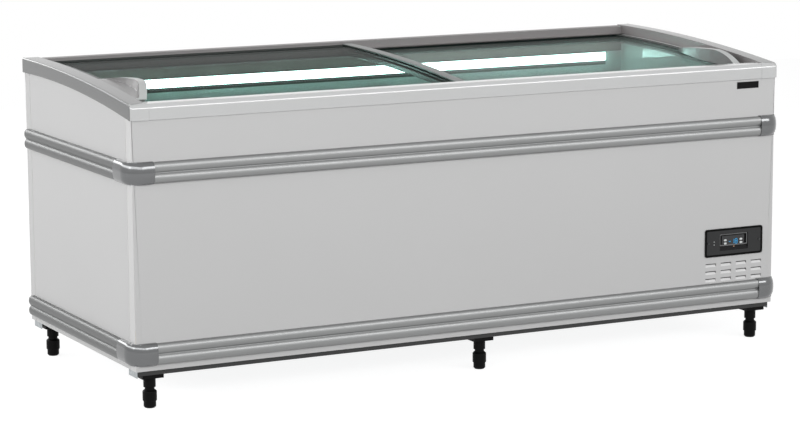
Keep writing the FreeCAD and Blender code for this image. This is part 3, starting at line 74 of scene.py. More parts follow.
def add(tree, kind, inputs=None, **settings):
    """Add a node with its settings, and set or link its inputs."""
    made = tree.nodes.new(kind)
    for name, value in settings.items():
        setattr(made, name, value)
    for name, value in (inputs or {}).items():
        if isinstance(value, bpy.types.NodeSocket):
            tree.links.new(value, made.inputs[name])
        else:
            made.inputs[name].default_value = value
    return made


def new_finish(name):
    """An empty material, its tree, and the place on the piece in metres."""
    material = bpy.data.materials.new(name)
    material.use_nodes = True
    tree = material.node_tree
    tree.nodes.clear()
    return material, tree, add(tree, "ShaderNodeTexCoord").outputs["Object"]


def close_finish(tree, sockets):
    """End a material in one surface shader."""
    surface = add(tree, "ShaderNodeBsdfPrincipled", sockets)
    add(tree, "ShaderNodeOutputMaterial", {"Surface": surface.outputs["BSDF"]})


def per_metre(size_mm):
    """The texture scale that gives a pattern its real size."""
    return 1000 / size_mm


def sprayed(name, colour, drift_colour, roughness, peel_mm, depth_mm):
    """Sprayed or powder-coated sheet: an even colour that drifts slowly, with a faint orange peel."""
    material, tree, spot = new_finish(name)
    drift = add(tree, "ShaderNodeTexNoise",
                {"Vector": spot, "Scale": per_metre(SPRAY_DRIFT_MM), "Detail": 2.0})
    tone = add(tree, "ShaderNodeMix", {MIX_AMOUNT: drift.outputs["Fac"], MIX_FROM: linear(colour),
                                       MIX_TO: linear(drift_colour)}, data_type="RGBA")
    peel = add(tree, "ShaderNodeTexNoise", {"Vector": spot, "Scale": per_metre(peel_mm), "Detail": 1.0})
    relief = add(tree, "ShaderNodeBump", {"Height": peel.outputs["Fac"], "Strength": PEEL_STRENGTH,
                                          "Distance": depth_mm * MM})
    close_finish(tree, {"Base Color": tone.outputs[MIX_RESULT], "Roughness": roughness,
                        "Normal": relief.outputs["Normal"]})
    return material


def close_shape(shape, name):
    """A finished shape as a mesh."""
    mesh = bpy.data.meshes.new(name)
    shape.to_mesh(mesh)
    shape.free()
    return mesh


def link_piece(mesh):
    """An object at the origin that holds a mesh and has its name."""
    piece = bpy.data.objects.new(mesh.name, mesh)
    bpy.context.scene.collection.objects.link(piece)
    return piece


def settle(piece, node, finish, stands_for=True):
    """Give a piece its finish, let it ride with a node's body and stand for the node if asked."""
    piece.data.materials.clear()
    piece.data.materials.append(finish)
    if stands_for:
        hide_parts(node)
    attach(piece, BODY_OF[node])
    return piece


def bake_modifiers(piece):
    """Turn a piece and its modifiers into one plain mesh."""
    seen = piece.evaluated_get(bpy.context.evaluated_depsgraph_get())
    mesh = bpy.data.meshes.new_from_object(seen)
    piece.modifiers.clear()
    piece.data = mesh
    mesh.name = piece.name


def round_edges(piece, edge_mm, bend_mm=0):
    """Round a piece's marked bends, then its hard edges, and keep its flat faces flat."""
    if bend_mm:
        bend = piece.modifiers.new("bends", "BEVEL")
        bend.width = bend_mm * MM
        bend.segments = BEND_SEGMENTS
        bend.limit_method = "WEIGHT"
        bend.use_clamp_overlap = False
        bend.harden_normals = True
    if edge_mm:
        bevel = piece.modifiers.new("rounded_edges", "BEVEL")
        bevel.width = edge_mm * MM
        bevel.segments = EDGE_SEGMENTS
        bevel.limit_method = "ANGLE"
        bevel.angle_limit = HARD_ANGLE
        bevel.harden_normals = True
    bake_modifiers(piece)


def cut_line(shape, axis, place):
    """Cut a line straight across a shape's faces and keep it as a seam."""
    spot = Vector()
    spot[axis] = place
    normal = Vector()
    normal[axis] = 1
    whole = shape.verts[:] + shape.edges[:] + shape.faces[:]
    for made in bmesh.ops.bisect_plane(shape, geom=whole, plane_co=spot, plane_no=normal)["geom_cut"]:
        if isinstance(made, bmesh.types.BMEdge):
            made.seam = True


def dress(node, word, edge_mm, finish, shape_more=None, bend_mm=0, cuts=()):
    """A node's shape as a piece of its own: smooth curves, rounded hard edges and cuts where asked."""
    shape = bmesh.new()
    shape.from_mesh(frame["nodes"][node].data)
    bmesh.ops.remove_doubles(shape, verts=shape.verts[:], dist=SAME_POINT)
    for axis, place in cuts:
        cut_line(shape, axis, place)
    bmesh.ops.dissolve_limit(shape, angle_limit=FLAT_ANGLE, verts=shape.verts[:], edges=shape.edges[:],
                             delimit={"SEAM"})
    for face in shape.faces:
        face.smooth = True
    for edge in shape.edges:
        edge.smooth = True
    if shape_more:
        shape_more(shape)
    mesh = close_shape(shape, f"{node}_{word}")
    if "custom_normal" in mesh.attributes:
        mesh.attributes.remove(mesh.attributes["custom_normal"])
    piece = link_piece(mesh)
    round_edges(piece, edge_mm, bend_mm)
    return settle(piece, node, finish)


# Satin enamel shows the white floor as a soft dark grey.
rail_black = sprayed("satin_black_enamelled_steel", "#171818", "#1c1d1d", roughness=0.42, peel_mm=3,
                     depth_mm=0.05)
dress("base_rails", "channels", 1.2, rail_black)


def galvanised(name, spangle_mm):
    """Hot-dipped zinc: flat crystals that catch the light one by one."""
    material, tree, spot = new_finish(name)
    crystals = add(tree, "ShaderNodeTexVoronoi", {"Vector": spot, "Scale": per_metre(spangle_mm)})
    tone = add(tree, "ShaderNodeMix", {MIX_AMOUNT: crystals.outputs["Color"], MIX_FROM: linear("#8f9496"),
                                       MIX_TO: linear("#b3b7b9")}, data_type="RGBA")
    gloss = add(tree, "ShaderNodeMapRange",
                {"Value": crystals.outputs["Color"], "To Min": 0.32, "To Max": 0.5})
    close_finish(tree, {"Base Color": tone.outputs[MIX_RESULT], "Metallic": 1.0,
                        "Roughness": gloss.outputs["Result"]})
    return material


# Zinc sheet is a bright patchwork of spangles.
zinc = galvanised("hot_dipped_zinc_sheet", spangle_mm=9)
dress("rail_end_brackets", "plates", 0.6, zinc)
dress("base_pan", "sheet", 0.3, zinc)

# Legs
# Six adjustable legs, moulded in black glass-filled nylon: a plate and socket screwed under the rail, and a
# round foot on a threaded stud that turns in the socket to level the freezer.
MOULD_DRIFT_MM = 60
GRAIN_STRENGTH = 0.3


def moulded(name, colour, drift_colour, roughness, grain_mm, depth_mm, specular=0.5, coat=0.0,
            metallic=0.0):
    """A moulding or casting, plated where it is metallic: a plain colour with its mould's fine grain.

    Real grain is a few tenths of a millimetre wide. It is drawn coarser, so that it shows.
    """
    material, tree, spot = new_finish(name)
    drift = add(tree, "ShaderNodeTexNoise",
                {"Vector": spot, "Scale": per_metre(MOULD_DRIFT_MM), "Detail": 2.0})
    tone = add(tree, "ShaderNodeMix", {MIX_AMOUNT: drift.outputs["Fac"], MIX_FROM: linear(colour),
                                       MIX_TO: linear(drift_colour)}, data_type="RGBA")
    grain = add(tree, "ShaderNodeTexNoise", {"Vector": spot, "Scale": per_metre(grain_mm), "Detail": 3.0})
    relief = add(tree, "ShaderNodeBump", {"Height": grain.outputs["Fac"], "Strength": GRAIN_STRENGTH,
                                          "Distance": depth_mm * MM})
    close_finish(tree, {"Base Color": tone.outputs[MIX_RESULT], "Roughness": roughness,
                        "Specular IOR Level": specular, "Coat Weight": coat,
                        "Coat Roughness": roughness / 2, "Metallic": metallic,
                        "Normal": relief.outputs["Normal"]})
    return material


# Glass-filled nylon is a deep, dull black with almost no highlight.
nylon = moulded("black_glass_filled_nylon", "#060606", "#0a0a0a", roughness=0.45, grain_mm=1.5,
                depth_mm=0.05, specular=0.08)
dress("leg_sockets", "mouldings", 1.5, nylon)
for side in ("front_left", "front_middle", "front_right", "back_left", "back_middle", "back_right"):
    dress(f"foot_{side}", "moulding", 1.2, nylon)

# Cabinet sheets
# Light grey powder-coated steel: the front and back sheets wrap round the corners, the end sheets lie
# between their returns. Louvres are pressed into the front, and slots are punched in the back.
X_AXIS, Y_AXIS, Z_AXIS = range(3)
BEND_MM = 4
SHEET_MM = 1
NEAR_CORNER = 2 * MM
CORNER_STRIP = 20 * MM
FACING = 0.6
SQUARE = 0.95
RAMP_FACING = 0.35
SLOT_SHADOW_HEIGHT = 2.2 * MM
SLOT_SHADOW_PROUD = 0.3 * MM


def mark_bends(face_y):
    """A shape step that marks the upright corners of a wrapped panel as bends of folded sheet."""
    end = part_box("front_panel")[1].x

    def step(shape):
        bend = shape.edges.layers.float.new("bevel_weight_edge")
        for face in shape.faces:
            face.smooth = False
        for edge in shape.edges:
            low, high = (vert.co for vert in edge.verts)
            straight = abs(low.x - high.x) < SAME_POINT and abs(low.y - high.y) < SAME_POINT
            outside = abs(abs(low.x) - end) < SAME_POINT and abs(low.y - face_y) < SAME_POINT
            near = abs(abs(low.x) - end) < NEAR_CORNER and abs(low.y - face_y) < NEAR_CORNER
            if straight and near:
                edge[bend] = 1.0 if outside else 1 - SHEET_MM / BEND_MM
    return step


def paint(piece, finish, test):
    """Give the faces that pass a test, by their middle and their direction, another finish."""
    piece.data.materials.append(finish)
    place = len(piece.data.materials) - 1
    for face in piece.data.polygons:
        if test(face.center, face.normal):
            face.material_index = place


def is_return(middle, facing):
    """True on the parts of a wrapped panel that lie on the ends of the cabinet."""
    return abs(facing.x) > SQUARE


def is_ramp(middle, facing):
    """True on the slopes of the louvres."""
    return facing.y < -FACING and facing.z > RAMP_FACING


def slot_shadow_mesh(name, panel):
    """A thin strip along the top of each louvre's ramp, painted black as the shadow in its air slot."""
    shape = bmesh.new()
    for face in panel.data.polygons:
        if is_ramp(face.center, face.normal):
            corners = [panel.data.vertices[i].co for i in face.vertices]
            wide = max(spot.x for spot in corners) - min(spot.x for spot in corners)
            top = max(corners, key=lambda spot: spot.z)
            out = face.normal
            up = out.cross(Vector((1, 0, 0)))
            sides = Vector((wide, 0, 0)), up * SLOT_SHADOW_HEIGHT, out * SLOT_SHADOW_PROUD
            place = Matrix(sides).transposed().to_4x4()
            edge = Vector((face.center.x, top.y, top.z))
            place.translation = edge - up * SLOT_SHADOW_HEIGHT / 2 + out * SLOT_SHADOW_PROUD / 2
            bmesh.ops.create_cube(shape, size=1, matrix=place)
    return close_shape(shape, name)


def fit(mesh, node, finish, edge_mm=0):
    """Add a small piece that rides and belongs with a node, its edges rounded if asked."""
    piece = link_piece(mesh)
    if edge_mm:
        round_edges(piece, edge_mm)
    settle(piece, node, finish, stands_for=False)


# Powder coat is an even light grey with a soft sheen. The returns round the corners are painted paler and
# glossier, a painted highlight from the bends, and the pressed slopes of the louvres are painted paler
# still, as painted light on faces turned up to the lamps.
cabinet_grey = sprayed("light_grey_powder_coated_steel", "#c8c8c8", "#c5c5c5", roughness=0.36, peel_mm=4,
                       depth_mm=0.04)
highlight_returns_grey = sprayed("powder_coat_under_film", "#d1d1d1", "#cecece", roughness=0.2, peel_mm=4,
                      depth_mm=0.02)
ramp_painted_light_grey = sprayed("powder_coat_on_louvre_ramps", "#e2e2e2", "#dfdfdf", roughness=0.3, peel_mm=4,
                    depth_mm=0.02)
corner_lines = [(X_AXIS, side * (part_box("front_panel")[1].x - CORNER_STRIP)) for side in (-1, 1)]
front_bends = mark_bends(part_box("front_panel")[0].y)
front = dress("front_panel", "sheet", 0, cabinet_grey, front_bends, BEND_MM, corner_lines)
# The returns are painted paler, as a painted highlight.
paint(front, highlight_returns_grey, is_return)
# The louvre ramps are painted paler, as painted light on slopes that face up.
paint(front, ramp_painted_light_grey, is_ramp)
# A black strip along each ramp's top is a painted shadow in its air slot.
fit(slot_shadow_mesh("louvre_slots", front), "front_panel", rail_black)
back_bends = mark_bends(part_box("back_panel")[1].y)
dress("back_panel", "sheet", 0, cabinet_grey, back_bends, BEND_MM, corner_lines)
dress("left_end_panel", "sheet", 0.35, cabinet_grey)
dress("right_end_panel", "sheet", 0.35, cabinet_grey)

# Bumpers
# Double-ribbed aluminium rails on the front and the ends take the knocks of trolleys. They are extruded and
# brushed along their length, and smooth chromed castings cover the front corners.
LINE_STRETCH = 120
LINE_STRENGTH = 0.12
LINE_DEPTH_MM = 0.1
GLOSS_SPREAD = 0.06
RIB_DEPTH = 9 * MM
CREST_STEP = 2.5 * MM
RAIL_HEIGHT = 57 * MM
ON_WALL = 0.5 * MM


def brushed(name, colour, drift_colour, roughness, along, line_mm, metallic=1.0):
    """Brushed or drawn metal: fine lines along the piece that stretch the reflections.

    Real lines are about a tenth of a millimetre wide. They are drawn wider, so that they show.
    """
    material, tree, spot = new_finish(name)
    across = per_metre(line_mm)
    stretch = [across / LINE_STRETCH if axis == along else across for axis in (X_AXIS, Y_AXIS, Z_AXIS)]
    turned = add(tree, "ShaderNodeMapping", {"Vector": spot, "Scale": stretch})
    lines = add(tree, "ShaderNodeTexNoise",
                {"Vector": turned.outputs["Vector"], "Scale": 1.0, "Detail": 3.0})
    tone = add(tree, "ShaderNodeMix", {MIX_AMOUNT: lines.outputs["Fac"], MIX_FROM: linear(colour),
                                       MIX_TO: linear(drift_colour)}, data_type="RGBA")
    gloss = add(tree, "ShaderNodeMapRange",
                {"Value": lines.outputs["Fac"], "To Min": roughness - GLOSS_SPREAD,
                 "To Max": roughness + GLOSS_SPREAD})
    relief = add(tree, "ShaderNodeBump", {"Height": lines.outputs["Fac"], "Strength": LINE_STRENGTH,
                                          "Distance": LINE_DEPTH_MM * MM})
    close_finish(tree, {"Base Color": tone.outputs[MIX_RESULT], "Metallic": metallic,
                        "Roughness": gloss.outputs["Result"], "Normal": relief.outputs["Normal"]})
    return material


def oval_ribs(node, out):
    """A shape step that draws each rail's two ribs as half ovals: out tells how far a point stands out."""
    low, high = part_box(node)

    def step(shape):
        reach = max(out(vert.co)[0] for vert in shape.verts)
        wall = min(out(vert.co)[0] for vert in shape.verts)
        for vert in shape.verts:
            stand, way = out(vert.co)
            if stand > wall + ON_WALL:
                foot = low.z if vert.co.z < (low.z + high.z) / 2 else high.z - RAIL_HEIGHT
                along = 2 * (vert.co.z - foot) / RAIL_HEIGHT
                offset = 2 * (along - min(int(along), 1)) - 1
                fall = RIB_DEPTH * (1 - math.sqrt(max(1 - offset ** 2, 0)))
                vert.co += way * (reach - CREST_STEP - fall - stand)
    return step


def out_in_front(spot):
    """How far a point of a front rail stands out, and which way."""
    return -spot.y, Vector((0, -1, 0))


def out_at_end(spot):
    """How far a point of an end rail stands out, and which way."""
    return abs(spot.x), Vector((math.copysign(1, spot.x), 0, 0))


# Brushed aluminium is a soft grey, with highlights drawn out along each rib. The end rails are the same
# metal, painted darker as painted shade.
rail_front = brushed("brushed_aluminium_lengthways", "#838484", "#8e8f8f", roughness=0.42, along=X_AXIS,
                     line_mm=1.5, metallic=0.85)
rail_end = brushed("brushed_aluminium_crossways", "#5e5f5f", "#696a6a", roughness=0.4, along=Y_AXIS,
                   line_mm=1.5, metallic=0.85)
front_ribs = oval_ribs("front_bumper_rails", out_in_front)
dress("front_bumper_rails", "extrusions", 0.6, rail_front, front_ribs)
end_ribs = oval_ribs("end_bumper_rails", out_at_end)
dress("end_bumper_rails", "extrusions", 0.6, rail_end, end_ribs)
CORNER_BEND = 58 * MM
CORNER_HEIGHT = 61 * MM
FULLNESS = 0.45
EDGE_REACH = 14 * MM
RAIL_LAP = 18 * MM
SECTION_STEPS = 24
BEND_STEPS = 12


def corner_points(side, foot):
    """Rows of points for one corner casting: an oval section from its end leg round to its front leg."""
    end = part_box("front_panel")[1].x
    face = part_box("front_panel")[0].y
    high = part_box("bumper_corners")[1]
    out = high.x - end
    rows = []
    for step in range(SECTION_STEPS + 1):
        turn = math.pi * (step / SECTION_STEPS - 0.5)
        reach = out * max(math.cos(turn), 0) ** FULLNESS
        bend = CORNER_BEND - out + max(reach, EDGE_REACH)
        bend *= min(reach / EDGE_REACH, 1)
        middle = Vector((end + reach - bend, face - reach + bend))
        plan = [Vector((end + reach, high.y))]
        for part in range(BEND_STEPS + 1):
            angle = -math.pi / 2 * part / BEND_STEPS
            plan.append(middle + bend * Vector((math.cos(angle), math.sin(angle))))
        plan.append(Vector((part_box("front_bumper_rails")[1].x - RAIL_LAP, face - reach)))
        level = foot + CORNER_HEIGHT / 2 * (1 + math.sin(turn))
        rows.append([(side * spot.x, spot.y, level) for spot in plan])
    return rows


def loft(shape, rows):
    """Add a closed form through rows of points to a shape, with flat ends and a flat back."""
    grid = [[shape.verts.new(point) for point in row] for row in rows]
    for place in (0, -1):
        shape.faces.new([row[place] for row in grid])
    for below, above in zip(grid, grid[1:] + grid[:1]):
        for i in range(len(below) - 1):
            shape.faces.new((below[i], below[i + 1], above[i + 1], above[i]))
    bmesh.ops.remove_doubles(shape, verts=[vert for row in grid for vert in row], dist=SAME_POINT)
    for face in shape.faces:
        face.smooth = True
    bmesh.ops.recalc_face_normals(shape, faces=shape.faces[:])


corner_low, corner_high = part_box("bumper_corners")
corner_shape = bmesh.new()
for side in (-1, 1):
    for foot in (corner_low.z, corner_high.z - CORNER_HEIGHT):
        loft(corner_shape, corner_points(side, foot))
corner_castings = link_piece(close_shape(corner_shape, "bumper_corners_castings"))
round_edges(corner_castings, 1.0)
# Satin chrome is dark grey, with one bright line along the bend.
chrome = moulded("satin_chromed_castings", "#6a6b6c", "#707172", roughness=0.16, grain_mm=2, depth_mm=0.01,
                 coat=0.2, metallic=0.85)
settle(corner_castings, "bumper_corners", chrome)

# Insulation, tub and evaporator
# Rigid polyurethane foam fills the walls. The tub is folded from aluminium sheet with a glossy white coat,
# and the evaporator tube is taped to its outside before the foam goes in.
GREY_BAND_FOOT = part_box("lamp_diffuser")[1].z
# Foam is a dull cream with fine pores.
foam = moulded("rigid_polyurethane_foam", "#e3d3a0", "#d8c48c", roughness=0.85, grain_mm=2, depth_mm=0.4)
dress("foam_insulation", "slabs", 0.5, foam)
# The tub's coat is cool white and mirrors the lamp. Over the lamp, the back is painted a dull grey.
tub_white = sprayed("gloss_white_coated_aluminium", "#d6e9e5", "#d1e4e0", roughness=0.035, peel_mm=30,
                    depth_mm=0.002)
grey_above_lamp = sprayed("dull_grey_coated_aluminium", "#74706a", "#706c66", roughness=0.4, peel_mm=30,
                      depth_mm=0.02)
for part in ("front", "left", "right", "floor", "step"):
    dress(f"liner_{part}", "sheet", 0.3, tub_white)
back_liner = dress("liner_back", "sheet", 0.3, tub_white, cuts=[(Z_AXIS, GREY_BAND_FOOT)])
# Above the lamp the back liner is painted dull grey.
paint(back_liner, grey_above_lamp, lambda middle, facing: middle.z > GREY_BAND_FOOT)
# Drawn tube is pale metal with fine lines along it.
tube_bright = brushed("drawn_aluminium_tube", "#b2b4b5", "#c0c2c3", roughness=0.4, along=X_AXIS, line_mm=1)
dress("evaporator_coil", "tubes", 0.3, tube_bright)

# Top frame
# Extruded plastic profiles along the front and the back hold two tracks each. Moulded end caps carry the
# arch of the lids, and a curved lip with a pocket behind it closes each front corner.
LIP_WALL_FACING = 0.35
FLOOR_START = 6 * MM
FLOOR_SLOPE = 0.078
PROFILE_DEPTH = 50 * MM
PROFILE_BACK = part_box("front_profile")[0].y + PROFILE_DEPTH
PROFILE_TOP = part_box("front_profile")[1].z
CAP_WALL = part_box("back_profile")[1].x
ARCH_START = 7 * MM
ARCH_RUN_OUT = Vector((0, 10, 1)) * MM
RETURN_DEPTH = 16 * MM
ARCH_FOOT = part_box("front_profile")[0].y + RETURN_DEPTH
LIP_SEAT = 2.2 * MM


def ease_front_step(shape):
    """A shape step that lets the arch of an end cap run out on its front return without a ledge."""
    front = min(vert.co.y for vert in shape.verts)
    for vert in shape.verts:
        if vert.co.y < front + ARCH_START and vert.co.z > PROFILE_TOP:
            vert.co += ARCH_RUN_OUT


def seat_lip(shape):
    """A shape step that brings the underside of a corner lip down, close to the glass."""
    under = {vert for face in shape.faces if face.normal.z < -SQUARE for vert in face.verts}
    for vert in under:
        vert.co.z -= LIP_SEAT


def is_front_return(middle, facing):
    """True on the front faces of an end cap and its tops near the front, which take painted light."""
    between = middle.y < PROFILE_BACK and abs(middle.x) < CAP_WALL
    return facing.y < -FACING or (facing.z > FACING and (between or middle.y < ARCH_FOOT))


def is_inner_wall(middle, facing):
    """True on the walls of an end cap that face the lids."""
    return facing.x * middle.x < 0 and abs(facing.x) > FACING


def is_cap_top(middle, facing):
    """True on the arched top of an end cap, away from the front profile."""
    beyond = middle.y > PROFILE_BACK or abs(middle.x) > CAP_WALL
    return facing.z > FACING and middle.y > ARCH_FOOT and beyond


def is_lip_wall(middle, facing):
    """True on the upright walls of a corner lip."""
    return abs(facing.x) > LIP_WALL_FACING


def pocket_floor(node):
    """A test for the sloping floor of a corner lip's pocket."""
    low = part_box(node)[0]

    def test(middle, facing):
        height = low.z + FLOOR_START + FLOOR_SLOPE * (middle.y - low.y)
        return facing.z > SQUARE and middle.z < height
    return test


# The front profile is pale and glossy, with a sharp highlight along its edge. The back one is dull.
profile_grey = moulded("light_grey_extruded_plastic", "#c4c5c5", "#c0c1c1", roughness=0.16, grain_mm=3,
                       depth_mm=0.01, specular=1.0, coat=1.0)
wall_grey = moulded("dark_grey_extruded_plastic", "#878484", "#8c8989", roughness=0.4, grain_mm=3,
                    depth_mm=0.02)
dress("front_profile", "extrusion", 0.8, profile_grey)
dress("back_profile", "extrusion", 0.8, wall_grey)
# The caps are mid grey with a soft gloss. Their arched tops are painted paler as a painted highlight, and
# their fronts take the profile's pale grey as painted light. The lips are pale, and the walls and the floor
# of their pockets are painted darker, as painted shade.
cap_grey = moulded("grey_moulded_caps", "#646565", "#606161", roughness=0.24, grain_mm=2, depth_mm=0.02,
                   specular=0.8)
cap_top_highlight_grey = moulded("grey_polished_cap_tops", "#858686", "#818282", roughness=0.16, grain_mm=2,
                   depth_mm=0.01, specular=0.8)
lip_wall_shade_grey = moulded("grey_moulded_lip_walls", "#7b7a7a", "#767575", roughness=0.22, grain_mm=2,
                      depth_mm=0.02, specular=0.6)
lip_grey = moulded("pale_grey_moulded_lips", "#c3c6c5", "#bec1c0", roughness=0.28, grain_mm=2,
                   depth_mm=0.02)
for side in ("left", "right"):
    cap = dress(f"{side}_end_cap", "moulding", 1.5, cap_grey, ease_front_step)
    # The cap's front takes the profile's grey, as painted light.
    paint(cap, profile_grey, is_front_return)
    paint(cap, wall_grey, is_inner_wall)
    # The cap's tops are painted paler, as a painted highlight.
    paint(cap, cap_top_highlight_grey, is_cap_top)
    lip = dress(f"{side}_corner_lip", "moulding", 2.5, lip_grey, seat_lip)
    # The lip walls and pocket floors are painted darker, as painted shade.
    paint(lip, lip_wall_shade_grey, is_lip_wall)
    paint(lip, lip_wall_shade_grey, pocket_floor(f"{side}_corner_lip"))

# Lids
# Two panes of curved toughened glass slide on acetal runners, the left one on the upper track. A dark bar
# closes each outer end, an aluminium bar the middle, and the left lid's middle bar carries a rubber wiper.
GLASS_DRIFT_MM = 350
TRIM_WIDTH = 9 * MM
BORDER_WIDTH = {"left_lid": 42 * MM, "right_lid": 70 * MM}


def toughened_glass(name, tint, drift_tint, cover, ior):
    """Tinted float glass as a clear film: the green of its iron, with a painted reflection that drifts."""
    material, tree, spot = new_finish(name)
    drift = add(tree, "ShaderNodeTexNoise",
                {"Vector": spot, "Scale": per_metre(GLASS_DRIFT_MM), "Detail": 1.0})
    tone = add(tree, "ShaderNodeMix", {MIX_AMOUNT: drift.outputs["Fac"], MIX_FROM: linear(tint),
                                       MIX_TO: linear(drift_tint)}, data_type="RGBA")
    close_finish(tree, {"Base Color": tone.outputs[MIX_RESULT], "Roughness": 0.02, "IOR": ior,
                        "Alpha": cover})
    return material


def trim_line(node):
    """Where the bright trim along an end bar's outer edge begins."""
    low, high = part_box(node)
    return low.x + TRIM_WIDTH if abs(low.x) > abs(high.x) else high.x - TRIM_WIDTH


# Anodised bars have a greenish satin grey, runners and wiper a dull black, and the trim is nearly white.
lid_bar = brushed("satin_anodised_lid_bars", "#474d4b", "#515755", roughness=0.3, along=Y_AXIS,
                  line_mm=1.5, metallic=0.6)
trim_pale = moulded("pale_plastic_trim", "#f0f3f2", "#ebeeed", roughness=0.3, grain_mm=2, depth_mm=0.02)
runner_black = moulded("black_acetal_runners", "#1d2422", "#242b29", roughness=0.4, grain_mm=2,
                       depth_mm=0.03)
rubber = moulded("black_extruded_rubber", "#1d2422", "#181e1c", roughness=0.6, grain_mm=2, depth_mm=0.05)
# Both panes are the same glass: the left one is painted smoky and the right one pale, as painted
# reflections. Both have a black print along the back edge.
border_black = toughened_glass("black_printed_glass", "#23312d", "#283632", cover=0.93, ior=1.03)
PANES = {
    "left_lid": toughened_glass("smoky_green_glass", "#262f2b", "#323c37", cover=0.45, ior=1.03),
    "right_lid": toughened_glass("pale_green_glass", "#6f7c78", "#788480", cover=0.45, ior=1.05),
}
for lid, pane in PANES.items():
    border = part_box(f"{lid}_glass")[1].y - BORDER_WIDTH[lid]
    glass = dress(f"{lid}_glass", "pane", 0.6, pane, cuts=[(Y_AXIS, border)])
    paint(glass, border_black, lambda middle, facing: middle.y > border)
    dress(f"{lid}_runners", "mouldings", 0.8, runner_black)
    line = trim_line(f"{lid}_end_bar")
    bar = dress(f"{lid}_end_bar", "extrusion", 0.6, runner_black, cuts=[(X_AXIS, line)])
    paint(bar, trim_pale, lambda middle, facing: abs(middle.x) > abs(line) and facing.z > FACING)
    dress(f"{lid}_middle_bar", "extrusion", 1.2, lid_bar)
dress("lid_wiper_seal", "strip", 0.6, rubber)

# Lamp
# A strip of cool white diodes along the back of the tub, in a painted aluminium housing with an opal
# acrylic cover. A dark bar under the cover is painted shade below it, with a row of small pale teeth.
DIODE_PITCH = 9.5 * MM
# At scale 1 a wave texture makes this many waves in two pi metres
WAVE_CYCLES = 20
WAVE_LENGTH = 2 * math.pi / WAVE_CYCLES
TOOTH = Vector((4, 1.5, 3.5)) * MM
TOOTH_TAPER = 0.4
TOOTH_DROP = 4.5 * MM
SHADE_BAR_HEIGHT = 13 * MM
SHADE_BAR_DEPTH = 3 * MM


def opal_light(name, colour, dim, bright):
    """Opal acrylic over a row of diodes: cool white, brighter over each one."""
    material, tree, spot = new_finish(name)
    rows = add(tree, "ShaderNodeTexWave", {"Vector": spot, "Scale": WAVE_LENGTH / DIODE_PITCH})
    glow = add(tree, "ShaderNodeMapRange", {"Value": rows.outputs["Fac"], "To Min": dim, "To Max": bright})
    close_finish(tree, {"Base Color": linear("#f4f7f6"), "Roughness": 0.4, "Emission Color": linear(colour),
                        "Emission Strength": glow.outputs["Result"]})
    return material


def row_tree():
    """Geometry Nodes: copies of one small shape in an even row."""
    tree = bpy.data.node_groups.new("even_row", "GeometryNodeTree")
    for name, kind in (("Shape", "Object"), ("Count", "Int"), ("First", "Vector"), ("Step", "Vector"),
                       ("Finish", "Material")):
        tree.interface.new_socket(name, in_out="INPUT", socket_type=f"NodeSocket{kind}")
    tree.interface.new_socket("Row", in_out="OUTPUT", socket_type="NodeSocketGeometry")
    given = add(tree, "NodeGroupInput").outputs
    line = add(tree, "GeometryNodeMeshLine", {"Count": given["Count"], "Start Location": given["First"],
                                              "Offset": given["Step"]}, mode="OFFSET", count_mode="TOTAL")
    shape = add(tree, "GeometryNodeObjectInfo", {"Object": given["Shape"]})
    copies = add(tree, "GeometryNodeInstanceOnPoints", {"Points": line.outputs["Mesh"],
                                                        "Instance": shape.outputs["Geometry"]})
    joined = add(tree, "GeometryNodeRealizeInstances", {"Geometry": copies.outputs["Instances"]})
    done = add(tree, "GeometryNodeSetMaterial", {"Geometry": joined.outputs["Geometry"],
                                                 "Material": given["Finish"]})
    add(tree, "NodeGroupOutput", {"Row": done.outputs["Geometry"]})
    return tree


EVEN_ROW = row_tree()


def box_mesh(name, size, taper=1.0):
    """A small block about the origin, narrower at its top when it tapers."""
    shape = bmesh.new()
    bmesh.ops.create_cube(shape, size=1)
    for vert in shape.verts:
        width = taper if vert.co.z > 0 else 1.0
        vert.co = Vector((vert.co.x * size.x * width, vert.co.y * size.y, vert.co.z * size.z))
    return close_shape(shape, name)


def lay_row(name, unit, first, step, count, finish):
    """A row of copies of a small mesh, as one piece."""
    shape = link_piece(unit)
    piece = link_piece(bpy.data.meshes.new(name))
    row = piece.modifiers.new("row", "NODES")
    row.node_group = EVEN_ROW
    values = {"Shape": shape, "Count": count, "First": first, "Step": step, "Finish": finish}
    for socket in EVEN_ROW.interface.items_tree:
        if socket.name in values:
            row[socket.identifier] = values[socket.name]
    bake_modifiers(piece)
    bpy.data.objects.remove(shape)
    return piece


# Painted aluminium is a plain white, and lit opal acrylic glows almost too bright to show its diodes.
# The bar under it is painted a dull green grey, as the shade under the lamp.
housing_white = sprayed("white_painted_aluminium", "#d9dedc", "#d4d9d7", roughness=0.4, peel_mm=4,
                        depth_mm=0.04)
opal = opal_light("lit_opal_acrylic", "#c8fff5", dim=6.0, bright=32.0)
shade_bar_dark = moulded("dark_green_grey_comb", "#26352f", "#2b3b35", roughness=0.5, grain_mm=2, depth_mm=0.03)
dress("lamp_housing", "extrusion", 1.5, housing_white)
dress("lamp_diffuser", "cover", 2.0, opal)
lamp_low, lamp_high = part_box("lamp_diffuser")
lamp_run = lamp_high.x - lamp_low.x
